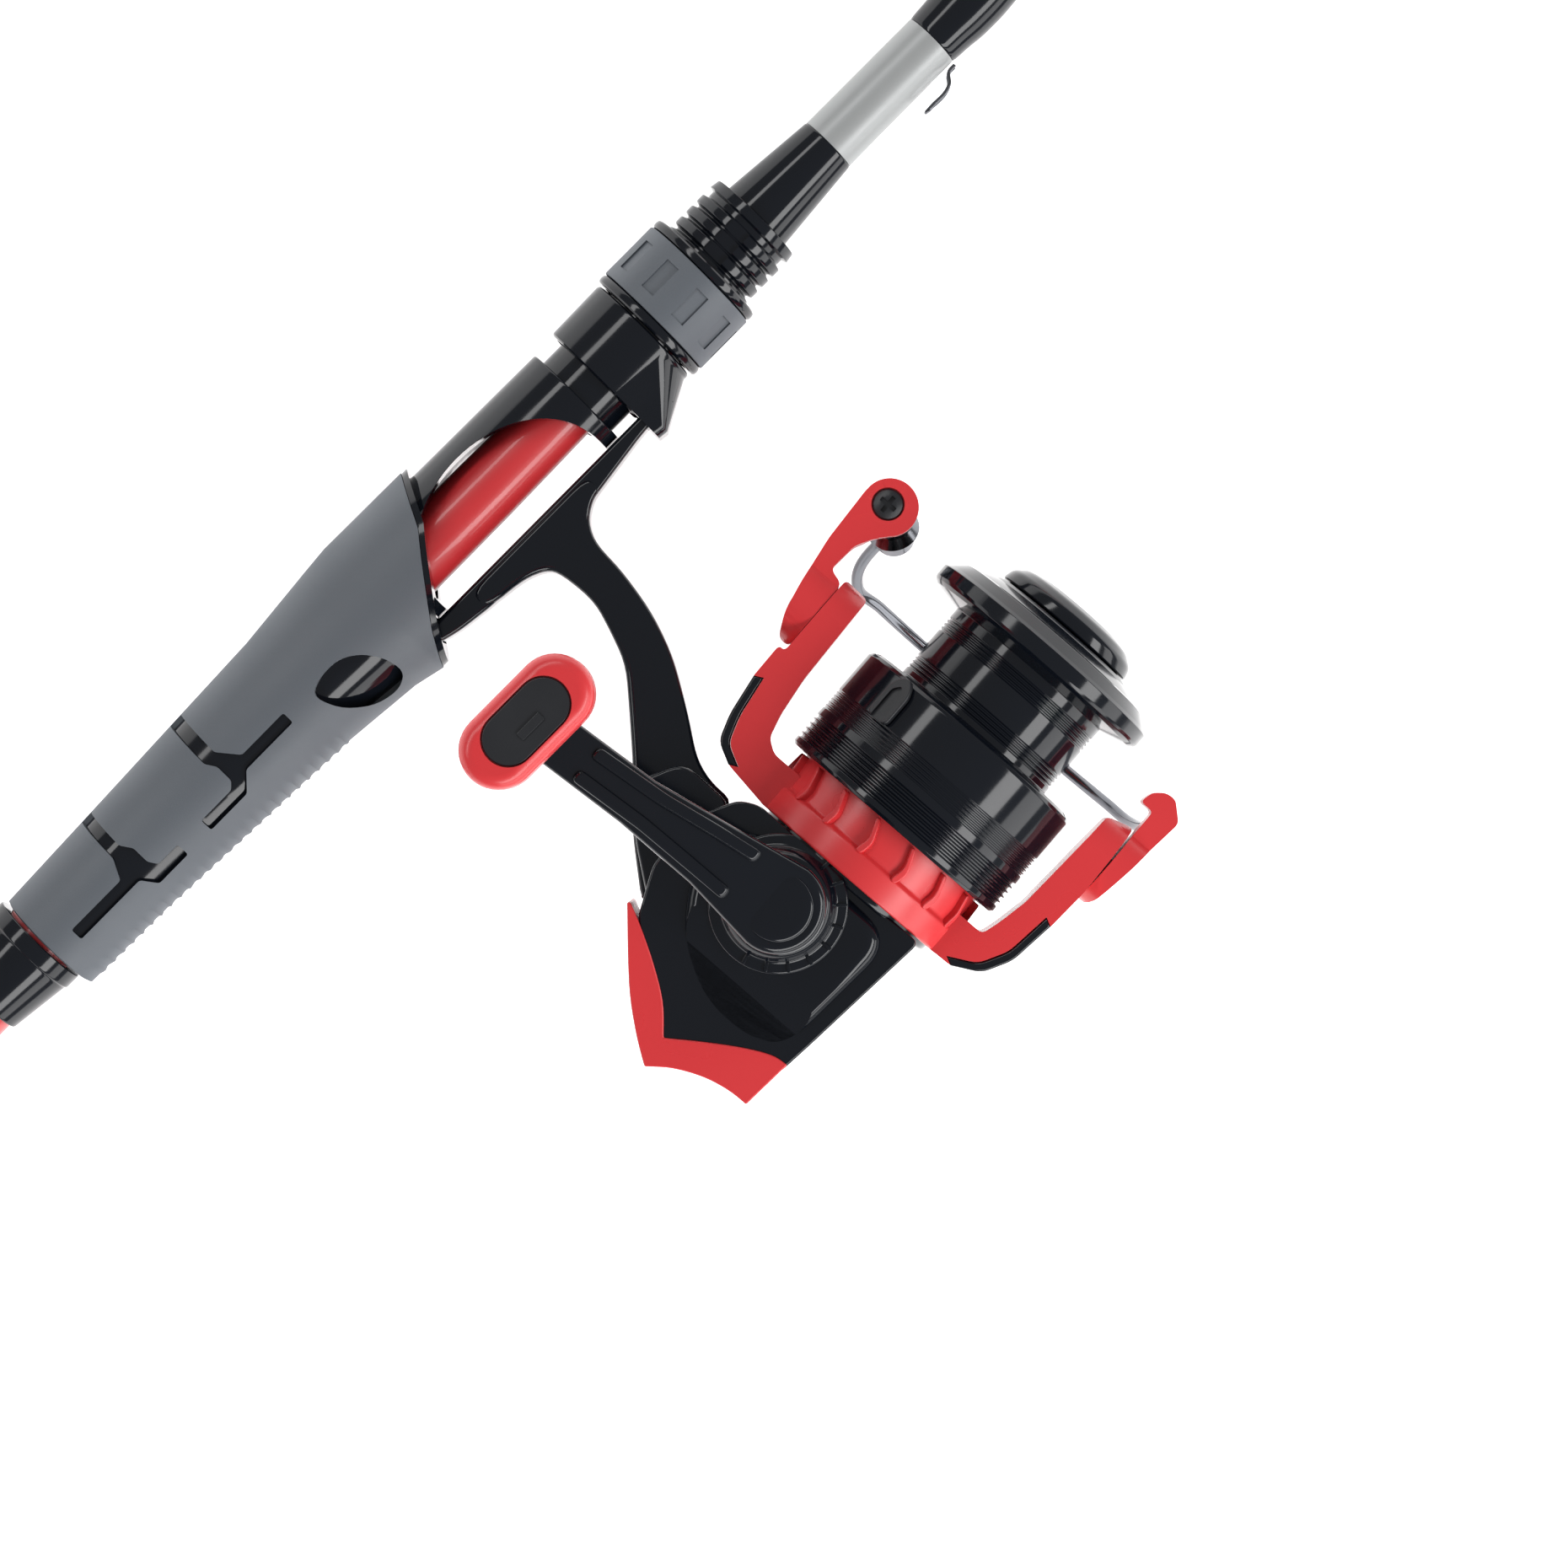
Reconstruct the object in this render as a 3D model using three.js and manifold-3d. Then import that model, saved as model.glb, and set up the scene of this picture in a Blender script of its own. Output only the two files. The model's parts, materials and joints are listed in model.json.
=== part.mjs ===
// A two-piece spinning rod with its spinning reel, lying on its side as it is laid down.
// The rod runs along +X, the reel hangs toward -Y, and the crank side faces up.
import * as THREE from 'three';
import { mergeVertices } from 'three/addons/utils/BufferGeometryUtils.js';
import Module from 'manifold-3d';

const wasm = await Module();
wasm.setup();

// ---------------------------------------------------------------- driving dimensions, mm
const GAP = 0.3; // clearance between neighbouring pieces

// Rod: places along the rod are measured from the butt end.
const ROD_LENGTH = 1830;
const CAP_LENGTH = 15;
const CAP_R = 14.2;
const BLANK_START = 3;
const BLANK_WALL = 1.1;
const BLANK_BUTT_R = 7.9;
const BLANK_SEAT_R = 6.35;
const BLANK_LABEL_R = 4.7;
const BLANK_FERRULE_R = 3.5;
const BLANK_TIP_R = 0.9;
const FERRULE_X = 915;
const FERRULE_DEPTH = 55;
const FERRULE_WALL = 0.6;
const REAR_GRIP_END = 105;
const REAR_GRIP_R = 12.6;

// Reel seat: places along it are measured from the centre of its window.
const SEAT_X = 293.5;
const CHECK_START = -128.5;
const CHECK_END = -113.7;
const SLEEVE_START = -113.1;
const SHANK_START = -53.5;
const SHANK_R = 9;
const SLEEVE_DEPTH = 0.92; // the sleeve is a little flatter than it is tall
const BARREL_R = 11.3;
const BARREL_END = 23.2;
const THREAD_R = 9.7;
const THREAD_DEPTH = 0.8;
const PIPE_R = THREAD_R - THREAD_DEPTH;
const THREAD_PITCH = 2.7;
const THREAD_START = 44;
const SEAT_END = 68.7;
const LIP_WIDTH = 1.4;
const WINDOW_HALF_LENGTH = 20.3;
const WINDOW_TOP = 7;
const WINDOW_BASE = 9;
const HOOD_LENGTH = 12.3;
const HOOD_R = 11.4;
const NUT_LENGTH = 15.8;
const NUT_R = 12.1;
const NUT_RIM = 2.5;
const CONE_LENGTH = 17.8;
const LABEL_LENGTH = 26.1;
const LABEL_R = 5.5;
const WRAP_LENGTH = 25;

// Reel foot, clamped under the seat.
const FOOT_TOP = 10.6;
const FOOT_THICKNESS = 2.6;
const FOOT_HALF_WIDTH = 5.2;
const TONGUE_REAR = -32.5;
const TONGUE_FRONT = 34.5;

// Reel: its own frame has x along the spool axis, y toward the rod and z along the crank axis.
const REEL_DROP = 96.2;
const REEL_SETBACK = 16.4;
const REEL_TILT = THREE.MathUtils.degToRad(3.9);
const CRANK_X = 1.1;
const CRANK_Y = 6.7;
const CRANK_RADIUS = 52;
const SHAFT_R = 1.4;
const BODY_HALF = 16;
const BODY_WALL = 2;
const NOSE_START = 12.1;
const BOSS_R = 18.6;
const BOSS_END = 17.5;
const NOSE_R = 9.5;
const NOSE_END = 28;
const DRIVE_SHAFT_R = 3;
const CRANK_BEARING_R = 6.5;
const ARM_BASE_Z = 34; // underside of the arm at the crank axis
const ARM_SLOPE = 0.306; // the arm leans outward so that it swings clear of the turning rotor
const ARM_ROOT_THICKNESS = 7;
const ARM_END_THICKNESS = 5;
const KNOB_LENGTH = 26.5;
const KNOB_WIDTH = 13.2;
const KNOB_HEIGHT = 25;

// Gears: a face gear on the crank shaft drives the pinion at five turns to one.
const GEAR_TEETH = 40;
const PINION_TEETH = 8;
const GEAR_R = 14.6;
const GEAR_MESH = 11.6;
const PINION_ROOT_R = 2.05;
const PINION_TIP_R = 2.95;
const PINION_STEM_R = 2.6;
const GEAR_THICKNESS = 3;

// Rotor, bail and spool.
const ROTOR_START = 12.5;
const ROTOR_R = 21;
const ROTOR_WALL = 1.8;
const ROTOR_END = 36;
const WEB_START = 32.5;
const WEB_END = 35.5;
const BAR_END = 20.7;
const ARM_HALF = 8;
const PIVOT_X = 44.75;
const PIVOT_DISC_R = 8.05;
const UPPER_ARM_Y = 35.2;
const LOWER_ARM_Y = 33.4;
const WIRE_R = 1.1;
const WIRE_BOW = 41;
const WIRE_X = 54.1;
const ROLLER_R = 5;
const SKIRT_START = 24.5;
const SKIRT_END = 46.6;
const SKIRT_R = 23.6;
const SKIRT_WALL = 1.6;
const BARREL_SPOOL_R = 16.9;
const FLANGE_START = 61.9;
const FLANGE_R = 23.7;
const DRAG_CAVITY_R = 12.8;
const DRAG_KNOB_R = 14.4;
const DRAG_KNOB_END = 76.3;

// Line guides: place along the rod and inner radius of each ring, largest first.
const GUIDES = [
  [830, 10],
  [1210, 7],
  [1500, 5],
  [1700, 4],
];
const TIP_RING_R = 3.1;

// ---------------------------------------------------------------- finishes
const FINISHES = {
  gloss_black: { color: 0x0c0f14, roughness: 0.15, metalness: 0 },
  satin_black: { color: 0x15181c, roughness: 0.45, metalness: 0 },
  red_plastic: { color: 0xcf3036, roughness: 0.35, metalness: 0 },
  red_blank: { color: 0xc9333a, roughness: 0.3, metalness: 0 },
  grey_rubber: { color: 0x5b6067, roughness: 0.7, metalness: 0 },
  foam: { color: 0x1b1c1e, roughness: 0.9, metalness: 0 },
  silver_label: { color: 0xa5a8a8, roughness: 0.35, metalness: 0.3 },
  steel: { color: 0xb9bcc0, roughness: 0.3, metalness: 1 },
  dark_chrome: { color: 0x55585c, roughness: 0.2, metalness: 1 },
  brass: { color: 0xb48d4a, roughness: 0.4, metalness: 1 },
  ceramic: { color: 0x33363a, roughness: 0.2, metalness: 0 },
  felt: { color: 0x8a7a5c, roughness: 0.95, metalness: 0 },
};

// ---------------------------------------------------------------- shape helpers
// A closed geometry as a solid that can be joined and cut.
function solidOf(shape) {
  if (!shape.isBufferGeometry) return shape;
  const bare = shape.clone();
  bare.deleteAttribute('normal');
  bare.deleteAttribute('uv');
  const merged = mergeVertices(bare, 1e-4);
  const kept = [];
  const index = merged.index.array;
  for (let i = 0; i < index.length; i += 3) {
    const [a, b, c] = index.slice(i, i + 3);
    if (a !== b && b !== c && c !== a) kept.push(a, b, c);
  }
  const vertProperties = merged.attributes.position.array;
  return new wasm.Manifold(new wasm.Mesh({ numProp: 3, vertProperties, triVerts: new Uint32Array(kept) }));
}

function geometryOf(solid) {
  const { vertProperties, triVerts } = solid.getMesh();
  const geometry = new THREE.BufferGeometry();
  geometry.setAttribute('position', new THREE.BufferAttribute(new Float32Array(vertProperties), 3));
  geometry.setIndex(new THREE.BufferAttribute(new Uint32Array(triVerts), 1));
  return geometry;
}

const join = (...shapes) => shapes.map(solidOf).reduce((a, b) => a.add(b));
const cut = (base, ...tools) => tools.map(solidOf).reduce((a, b) => a.subtract(b), solidOf(base));
const common = (a, b) => solidOf(a).intersect(solidOf(b));

// A profile of [along, radius] points turned about the X axis; it closes on itself or on the axis.
function turned(profile, segments = 16) {
  const points = profile.map(([along, radius]) => new THREE.Vector2(radius, along));
  if (profile[0][1] > 0) points.push(points[0].clone());
  if (THREE.ShapeUtils.area(points) < 0) points.reverse();
  return new THREE.LatheGeometry(points, segments).rotateZ(-Math.PI / 2);
}

// The same, standing on the Z axis.
const turnedZ = (profile, segments = 16) => turned(profile, segments).rotateY(-Math.PI / 2);

const tube = (x0, x1, outer, inner, segments = 18) =>
  turned([[x0, inner], [x0, outer], [x1, outer], [x1, inner]], segments);
const rod = (x0, x1, radius, segments = 16) =>
  turned([[x0, 0], [x0, radius], [x1, radius], [x1, 0]], segments);
const rodZ = (z0, z1, radius, segments = 16) => rod(z0, z1, radius, segments).rotateY(-Math.PI / 2);
const rodY = (y0, y1, radius, segments = 16) => rod(y0, y1, radius, segments).rotateZ(Math.PI / 2);
const tubeZ = (z0, z1, outer, inner, segments = 18) =>
  turnedZ([[z0, inner], [z0, outer], [z1, outer], [z1, inner]], segments);

function block(x0, x1, y0, y1, z0, z1) {
  const box = new THREE.BoxGeometry(x1 - x0, y1 - y0, z1 - z0);
  return box.translate((x0 + x1) / 2, (y0 + y1) / 2, (z0 + z1) / 2);
}

// An outline of [x, y] points, as a plate from z0 to z1.
function plate(outline, z0, z1) {
  const shape = new THREE.Shape(outline.map(([x, y]) => new THREE.Vector2(x, y)));
  return new THREE.ExtrudeGeometry(shape, { depth: z1 - z0, bevelEnabled: false }).translate(0, 0, z0);
}

// An outline of [x, z] points, as a plate from y0 to y1.
const plateY = (outline, y0, y1) => plate(outline, -y1, -y0).rotateX(Math.PI / 2);

// An outline of [y, z] points, as a plate from x0 to x1.
function plateX(outline, x0, x1) {
  const turn = new THREE.Matrix4().set(0, 0, 1, x0, 1, 0, 0, 0, 0, 1, 0, 0, 0, 0, 0, 1);
  return plate(outline, 0, x1 - x0).applyMatrix4(turn);
}

// Points on an arc, from one angle to another in degrees.
function arc(x, y, radius, from, to, steps) {
  const points = [];
  for (let i = 0; i <= steps; i += 1) {
    const angle = THREE.MathUtils.degToRad(from + ((to - from) * i) / steps);
    points.push([x + radius * Math.cos(angle), y + radius * Math.sin(angle)]);
  }
  return points;
}

// A round bar swept along a smooth path.
function swept(points, radius, sides, steps) {
  const path = new THREE.CatmullRomCurve3(points.map((p) => new THREE.Vector3(...p)));
  const shape = new THREE.Shape(
    arc(0, 0, radius, 0, 360 - 360 / sides, sides - 1).map((p) => new THREE.Vector2(...p)),
  );
  return new THREE.ExtrudeGeometry(shape, { extrudePath: path, steps, bevelEnabled: false });
}

function piece(name, shape, finish) {
  const mesh = new THREE.Mesh(geometryOf(solidOf(shape)), new THREE.MeshStandardMaterial(FINISHES[finish]));
  mesh.name = name;
  return mesh;
}

// A straight-line table of [place, value] read at any place.
function along(table, x) {
  const last = table.length - 1;
  if (x <= table[0][0]) return table[0][1];
  if (x >= table[last][0]) return table[last][1];
  const i = table.findIndex(([place]) => place > x);
  const [x0, y0] = table[i - 1];
  const [x1, y1] = table[i];
  return y0 + ((y1 - y0) * (x - x0)) / (x1 - x0);
}

// ---------------------------------------------------------------- rod
const NECK_END = BARREL_END + 4.6;
const HOOD_START = NECK_END + 0.1;
const HOOD_END = HOOD_START + HOOD_LENGTH;
const NUT_START = HOOD_END + GAP;
const NUT_END = NUT_START + NUT_LENGTH;
const CONE_START = SEAT_END + GAP;
const CONE_END = CONE_START + CONE_LENGTH;
const LABEL_START = CONE_END + GAP;
const LABEL_END = LABEL_START + LABEL_LENGTH;
const WRAP_START = LABEL_END + GAP;
const FERRULE_END = FERRULE_X + FERRULE_DEPTH;
const BLANK_TAPER = [
  [BLANK_START, BLANK_BUTT_R],
  [SEAT_X, BLANK_SEAT_R],
  [SEAT_X + LABEL_START, BLANK_LABEL_R],
  [FERRULE_X, BLANK_FERRULE_R],
  [FERRULE_END, BLANK_FERRULE_R],
];
const blankRadius = (x) => along(BLANK_TAPER, x);
const SOCKET_R = BLANK_FERRULE_R + GAP + FERRULE_WALL;
const TIP_TAPER = [
  [FERRULE_X + GAP, SOCKET_R],
  [FERRULE_END + 4, SOCKET_R],
  [FERRULE_END + 30, BLANK_FERRULE_R],
  [ROD_LENGTH - 4, BLANK_TIP_R],
];

// Points of the bore of a piece that sits on the blank, from its front end back to its rear end.
function blankBore(x0, x1) {
  const breaks = BLANK_TAPER.map(([x]) => x).filter((x) => x > x0 && x < x1);
  return [x0, ...breaks, x1].reverse().map((x) => [x, blankRadius(x) + GAP]);
}

// A sleeve on the blank, from its outer profile.
function onBlank(outer, segments = 16) {
  return turned([...outer, ...blankBore(outer[0][0], outer[outer.length - 1][0])], segments);
}

const atSeat = (points) => points.map(([s, r]) => [SEAT_X + s, r]);

function makeButtCap() {
  const bore = blankBore(BLANK_START - GAP, CAP_LENGTH);
  const floor = [BLANK_START - GAP, 0];
  const outside = [[0, 0], [0, CAP_R - 2], [1, CAP_R - 0.6], [3, CAP_R], [CAP_LENGTH, CAP_R]];
  return piece('butt_cap', turned([...outside, ...bore, floor]), 'satin_black');
}

function makeRearGrip() {
  const start = CAP_LENGTH + GAP;
  const front = REAR_GRIP_R - 1.4;
  const outside = [[start, REAR_GRIP_R], [REAR_GRIP_END - 8, front], [REAR_GRIP_END - 2, front - 1.2]];
  return piece('rear_grip', onBlank([...outside, [REAR_GRIP_END, front - 2.6]]), 'foam');
}

function makeButtBlank() {
  const outside = BLANK_TAPER;
  const inside = BLANK_TAPER.map(([x, r]) => [x, r - BLANK_WALL]).reverse();
  return piece('butt_blank', turned([...outside, ...inside], 16), 'red_blank');
}

function makeGripCheck() {
  const outside = [[CHECK_START, 7.9], [CHECK_END - 3.2, 9.3], [CHECK_END - 3, 9.6], [CHECK_END, 9.6]];
  return piece('grip_end_check', onBlank(atSeat(outside)), 'gloss_black');
}

// The sleeve's edge toward the window runs slanting down and back; the lip follows it.
const SLEEVE_EDGE = [
  [-8, 16], [-9.1, 12], [-13.5, 2.8], [-16.7, -1.2], [-24.7, -11.6], [-28.3, -17.2], [-30.5, -21],
];

// Radius of the sleeve and how far its middle sits below the blank's.
const SLEEVE_FORM = [
  [SLEEVE_START, 10.4, 1.6],
  [-93, 10.9, 1.4],
  [-50, 12.7, 1.6],
  [-34, 14.2, 1.6],
  [-28.3, 15.1, 2.0],
  [-8, 15.1, 2.2],
];

function sleeveForm() {
  const radii = SLEEVE_FORM.map(([s, r]) => [SEAT_X + s, r]);
  const drops = SLEEVE_FORM.map(([s, , drop]) => [SEAT_X + s, drop]);
  const ends = [[radii[radii.length - 1][0], 0], [radii[0][0], 0]];
  const form = turned([ends[1], ...radii, ends[0]], 20);
  const place = form.attributes.position;
  for (let i = 0; i < place.count; i += 1) place.setY(i, place.getY(i) - along(drops, place.getX(i)));
  return form.scale(1, 1, SLEEVE_DEPTH);
}

// The part of space between two distances from the sleeve's edge, measured along the rod.
function edgeSlab(from, to) {
  const near = SLEEVE_EDGE.map(([s, y]) => [SEAT_X + s + from, y]);
  const far = SLEEVE_EDGE.map(([s, y]) => [SEAT_X + s + to, y]).reverse();
  return plate([...near, ...far], -30, 30);
}

// Room for the reel's foot, with its clearance all round.
function footRoom() {
  const half = FOOT_HALF_WIDTH + GAP;
  const top = -FOOT_TOP + GAP;
  const rear = block(SEAT_X + TONGUE_REAR - GAP, SEAT_X - 22, top - FOOT_THICKNESS - 1.3, top, -half, half);
  const middle = block(SEAT_X - 24.5, SEAT_X + TONGUE_FRONT + GAP, -30, top, -half, half);
  return join(rear, middle);
}

function makeGripSleeve() {
  const shankRoom = rod(SEAT_X + SHANK_START - GAP, SEAT_X, SHANK_R + GAP, 24);
  const start = SEAT_X + SLEEVE_START - 1;
  const blankRoom = turned([...blankBore(start, SEAT_X), [start, 0], [SEAT_X, 0]], 24);
  const sleeve = common(sleeveForm(), edgeSlab(-130, 0));
  return piece('grip_sleeve', cut(sleeve, shankRoom, blankRoom, footRoom()), 'grey_rubber');
}

function threadProfile() {
  const points = [];
  for (let s = THREAD_START; s < SEAT_END - THREAD_PITCH; s += THREAD_PITCH) {
    points.push([s, PIPE_R], [s + THREAD_PITCH * 0.3, THREAD_R], [s + THREAD_PITCH * 0.7, THREAD_R]);
  }
  return [...points, [SEAT_END - 1.6, PIPE_R], [SEAT_END - 1.5, THREAD_R], [SEAT_END, THREAD_R - 0.3]];
}

function makeReelSeat() {
  const shank = rod(SEAT_X + SHANK_START, SEAT_X, SHANK_R, 24);
  const barrel = turned(
    atSeat([[-40, 0], [-40, BARREL_R], [BARREL_END, BARREL_R - 0.6], [BARREL_END, 0]]), 24,
  );
  const barrelFront = common(barrel, edgeSlab(GAP, 80));
  const lip = common(sleeveForm(), edgeSlab(GAP, GAP + LIP_WIDTH));
  const outside = [[-10, 0], [-10, PIPE_R], ...threadProfile(), [SEAT_END, 0]];
  const pipe = turned(atSeat(outside), 14);
  const arch = arc(0, -WINDOW_BASE, 1, 0, 180, 16).map(([x, y]) => [
    SEAT_X + x * WINDOW_HALF_LENGTH,
    -WINDOW_BASE + (y + WINDOW_BASE) * (WINDOW_BASE + WINDOW_TOP),
  ]);
  const below = [[SEAT_X - WINDOW_HALF_LENGTH, -30], [SEAT_X + WINDOW_HALF_LENGTH, -30]];
  const windowRoom = plate([...arch, ...below], -30, 30);
  const start = SEAT_X + SHANK_START - 1;
  const end = SEAT_X + SEAT_END + 1;
  const bore = turned([...blankBore(start, end), [start, 0], [end, 0]], 24);
  return piece(
    'reel_seat', cut(join(shank, barrelFront, lip, pipe), windowRoom, footRoom(), bore),
    'gloss_black',
  );
}

function makeSlidingHood() {
  const collar = turned(atSeat([
    [HOOD_START, 0], [HOOD_START, HOOD_R - 0.4], [HOOD_START + 1.5, HOOD_R], [HOOD_END - 1, HOOD_R],
    [HOOD_END, HOOD_R - 0.5], [HOOD_END, 0],
  ]), 24);
  const mouth = plate(atSeat([
    [HOOD_START, -9], [HOOD_START, -13.6], [HOOD_START + 0.6, -15.2], [HOOD_START + 2, -16.3],
    [HOOD_END, -12.3], [HOOD_END, -9],
  ]), -FOOT_HALF_WIDTH - 1.6, FOOT_HALF_WIDTH + 1.6);
  const bore = rod(SEAT_X + HOOD_START - 1, SEAT_X + HOOD_END + 1, THREAD_R + GAP, 24);
  const half = FOOT_HALF_WIDTH + GAP;
  const slotEnd = SEAT_X + TONGUE_FRONT + GAP;
  const slot = block(SEAT_X + HOOD_START - 1, slotEnd, -FOOT_TOP - FOOT_THICKNESS - GAP, -9, -half, half);
  return piece('sliding_hood', cut(join(collar, mouth), bore, slot), 'gloss_black');
}

function makeLockNut() {
  const bore = THREAD_R + GAP;
  const core = bore + 0.7;
  const profile = [
    [NUT_START, bore], [NUT_START, NUT_R - 0.4], [NUT_START + 0.5, NUT_R], [NUT_START + NUT_RIM, NUT_R],
    [NUT_START + NUT_RIM, core], [NUT_END - NUT_RIM, core], [NUT_END - NUT_RIM, NUT_R],
    [NUT_END - 0.5, NUT_R], [NUT_END, NUT_R - 0.4], [NUT_END, bore],
  ];
  return piece('lock_nut', turned(atSeat(profile), 24), 'gloss_black');
}

function makeNutGrip() {
  const start = NUT_START + NUT_RIM + GAP;
  const end = NUT_END - NUT_RIM - GAP;
  return piece(
    'lock_nut_grip', tube(SEAT_X + start, SEAT_X + end, NUT_R, THREAD_R + 1.3, 24), 'grey_rubber',
  );
}

function makeFrontTrim() {
  const cone = onBlank(atSeat([[CONE_START, 7.2], [CONE_END, LABEL_R + 0.1]]));
  const label = onBlank(atSeat([[LABEL_START, LABEL_R], [LABEL_END, LABEL_R - 0.1]]));
  const wrapEnd = WRAP_START + WRAP_LENGTH;
  const wrap = onBlank(atSeat([
    [WRAP_START, LABEL_R], [WRAP_START + 6, LABEL_R + 0.6], [WRAP_START + 12, LABEL_R + 0.7],
    [WRAP_START + 20, LABEL_R], [wrapEnd, blankRadius(SEAT_X + wrapEnd) + GAP + 0.2],
  ]));
  return [
    piece('front_cone', cone, 'gloss_black'),
    piece('label_band', label, 'silver_label'),
    piece('keeper_wrap', wrap, 'gloss_black'),
  ];
}

function makeHookKeeper() {
  const foot = LABEL_R + 0.75;
  const leg = [
    [-GAP, foot, 1.8], [-1.9, foot + 0.1, 1.8], [-3.7, foot + 1.8, 1.8], [-8.7, foot + 2.2, 1.5],
  ];
  const bend = [[-9.6, foot + 2.2, 0.8], [-9.9, foot + 2.2, 0], [-9.6, foot + 2.2, -0.8]];
  const back = leg.map(([s, drop, z]) => [s, drop, -z]).reverse();
  const path = [...leg, ...bend, ...back].map(([s, drop, z]) => [SEAT_X + WRAP_START + s, -drop, z]);
  return piece('hook_keeper', swept(path, 0.35, 5, 16), 'dark_chrome');
}

function makeTipBlank() {
  const socket = [
    [FERRULE_END + 2, 0], [FERRULE_END + 2, BLANK_FERRULE_R + GAP],
    [FERRULE_X + GAP, BLANK_FERRULE_R + GAP],
  ];
  const tip = ROD_LENGTH - 4;
  return piece('tip_blank', turned([...socket, ...TIP_TAPER, [tip, 0]], 12), 'red_blank');
}

function makeFerruleWrap() {
  const inner = SOCKET_R + GAP;
  return piece('ferrule_wrap', tube(FERRULE_X + 1, FERRULE_X + 24, inner + 0.4, inner, 12), 'gloss_black');
}

// A guide stands on the blank toward the reel: a ring in a wire frame on a long foot.
function makeGuide(label, x, ringR) {
  const blank = x < FERRULE_X ? blankRadius(x) : along(TIP_TAPER, x);
  const height = blank + 5 + ringR * 1.6;
  const wire = 0.45 + ringR * 0.04;
  const outer = ringR + 1.1;
  const reach = 5 + ringR;
  const seatY = -(Math.max(blank, blankRadiusNear(x, reach + 4)) + GAP + 0.5);
  const foot = block(x - reach - 4, x + reach, seatY - 0.5, seatY + 0.5, -1.1, 1.1);
  const holder = tube(x - 0.9, x + 0.9, outer + GAP + 1, outer + GAP, 14).translate(0, -height, 0);
  const low = seatY - 0.2;
  const rim = outer + GAP + 0.5;
  const front = swept([[x + reach - 0.6, low, 0], [x + 0.3, -height + rim, 0]], wire, 5, 1);
  const shapes = [foot, holder, front];
  for (const side of [-1, 1]) {
    shapes.push(swept([[x - reach - 2, low, 0], [x - 0.3, -height, side * rim]], wire, 5, 1));
  }
  const ring = tube(x - 0.8, x + 0.8, outer, ringR, 14).translate(0, -height, 0);
  const room = rod(x - 3, x + 3, outer + GAP, 14).translate(0, -height, 0);
  const frame = cut(join(...shapes), room);
  return [
    piece(`guide_frame_${label}`, frame, 'dark_chrome'),
    piece(`guide_ring_${label}`, ring, 'ceramic'),
  ];
}

// The thickest the blank gets within a reach of a place on the tip section or the butt section.
function blankRadiusNear(x, reach) {
  return x < FERRULE_X ? blankRadius(x - reach) : along(TIP_TAPER, x - reach);
}

function makeTipTop() {
  const inner = along(TIP_TAPER, ROD_LENGTH - 16) + GAP;
  const sleeve = tube(ROD_LENGTH - 16, ROD_LENGTH - 2, inner + 0.6, inner, 16);
  const outer = TIP_RING_R + 1;
  const height = inner + 0.6 + outer + GAP;
  const holder = tube(ROD_LENGTH - 1.8, ROD_LENGTH, outer + GAP + 0.9, outer + GAP, 14).translate(
    0, -height, 0,
  );
  const stay = swept(
    [[ROD_LENGTH - 12, -inner - 0.3, 0], [ROD_LENGTH - 1, -height - outer - 0.8, 0]], 0.5, 5, 1,
  );
  const tip = swept(
    [[ROD_LENGTH - 5, -inner - 0.3, 0], [ROD_LENGTH - 1, -height + outer + 0.8, 0]], 0.5, 5, 1,
  );
  const ring = tube(ROD_LENGTH - 1.7, ROD_LENGTH - 0.1, outer, TIP_RING_R, 14).translate(0, -height, 0);
  const room = rod(ROD_LENGTH - 4, ROD_LENGTH + 1, outer + GAP, 14).translate(0, -height, 0);
  const frame = cut(join(sleeve, holder, stay, tip), room);
  return [piece('tip_top_frame', frame, 'dark_chrome'), piece('tip_top_ring', ring, 'ceramic')];
}

// ---------------------------------------------------------------- reel body and crank
// A place given from the seat window's centre and its drop below the blank, in the reel's frame.
function fromSeat([s, drop]) {
  const forward = s + REEL_SETBACK;
  const up = REEL_DROP - drop;
  const cos = Math.cos(REEL_TILT);
  const sin = Math.sin(REEL_TILT);
  return [forward * cos + up * sin, up * cos - forward * sin];
}

const HOUSING = [
  [-21.8, -13.2], [NOSE_START, -16.8], [NOSE_START, 20.6], [10.3, 24], [4, 27.5], [-8, 28], [-17, 23.9],
  [-21.6, 18.5], [-27.4, 12], [-33.2, 6.4], [-28.2, 0.6], [-24.4, -5], [-22.3, -10],
];
const CHAMBER = [
  [-19, -11], [NOSE_START - BODY_WALL, -14.2], [NOSE_START - BODY_WALL, 20.4], [3, 25.3], [-7, 25.6],
  [-15.8, 21.5], [-23, 12], [-22, 5], [-20.5, -5],
];
const COVER_BAND_OUTER = [
  [-16.2, 27.1], [-27.1, 17.4], [-32.9, 10.9], [-36.7, 5.6], [-33.6, 1.6], [-31.2, -3.4],
  [-30, -8.3], [-29.8, -12.5],
];
const COVER_BAND_INNER = [
  [-22.7, -13.3], [-22.7, -10], [-24.8, -5.1], [-28.6, 0.6], [-33.6, 6.2], [-27.8, 12.2],
  [-22, 18.7], [-17.2, 24.4],
];
const SCREW_PLACES = [[7.5, -12.6], [-19.3, -9], [-13, 22.3]];
const POST_R = 2.5;
const SCREW_R = 1.1;
const PINION_BEARING_R = 6;
const ONE_WAY_R = 7;
const CRANK_BOSS_R = 12.5;
const CRANK_BOSS_TOP = 22;
const COVER_THICKNESS = 2;
const COVER_BOSS_DEPTH = 21;

const atCrank = (geometry) => geometry.translate(CRANK_X, CRANK_Y, 0);

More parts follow.
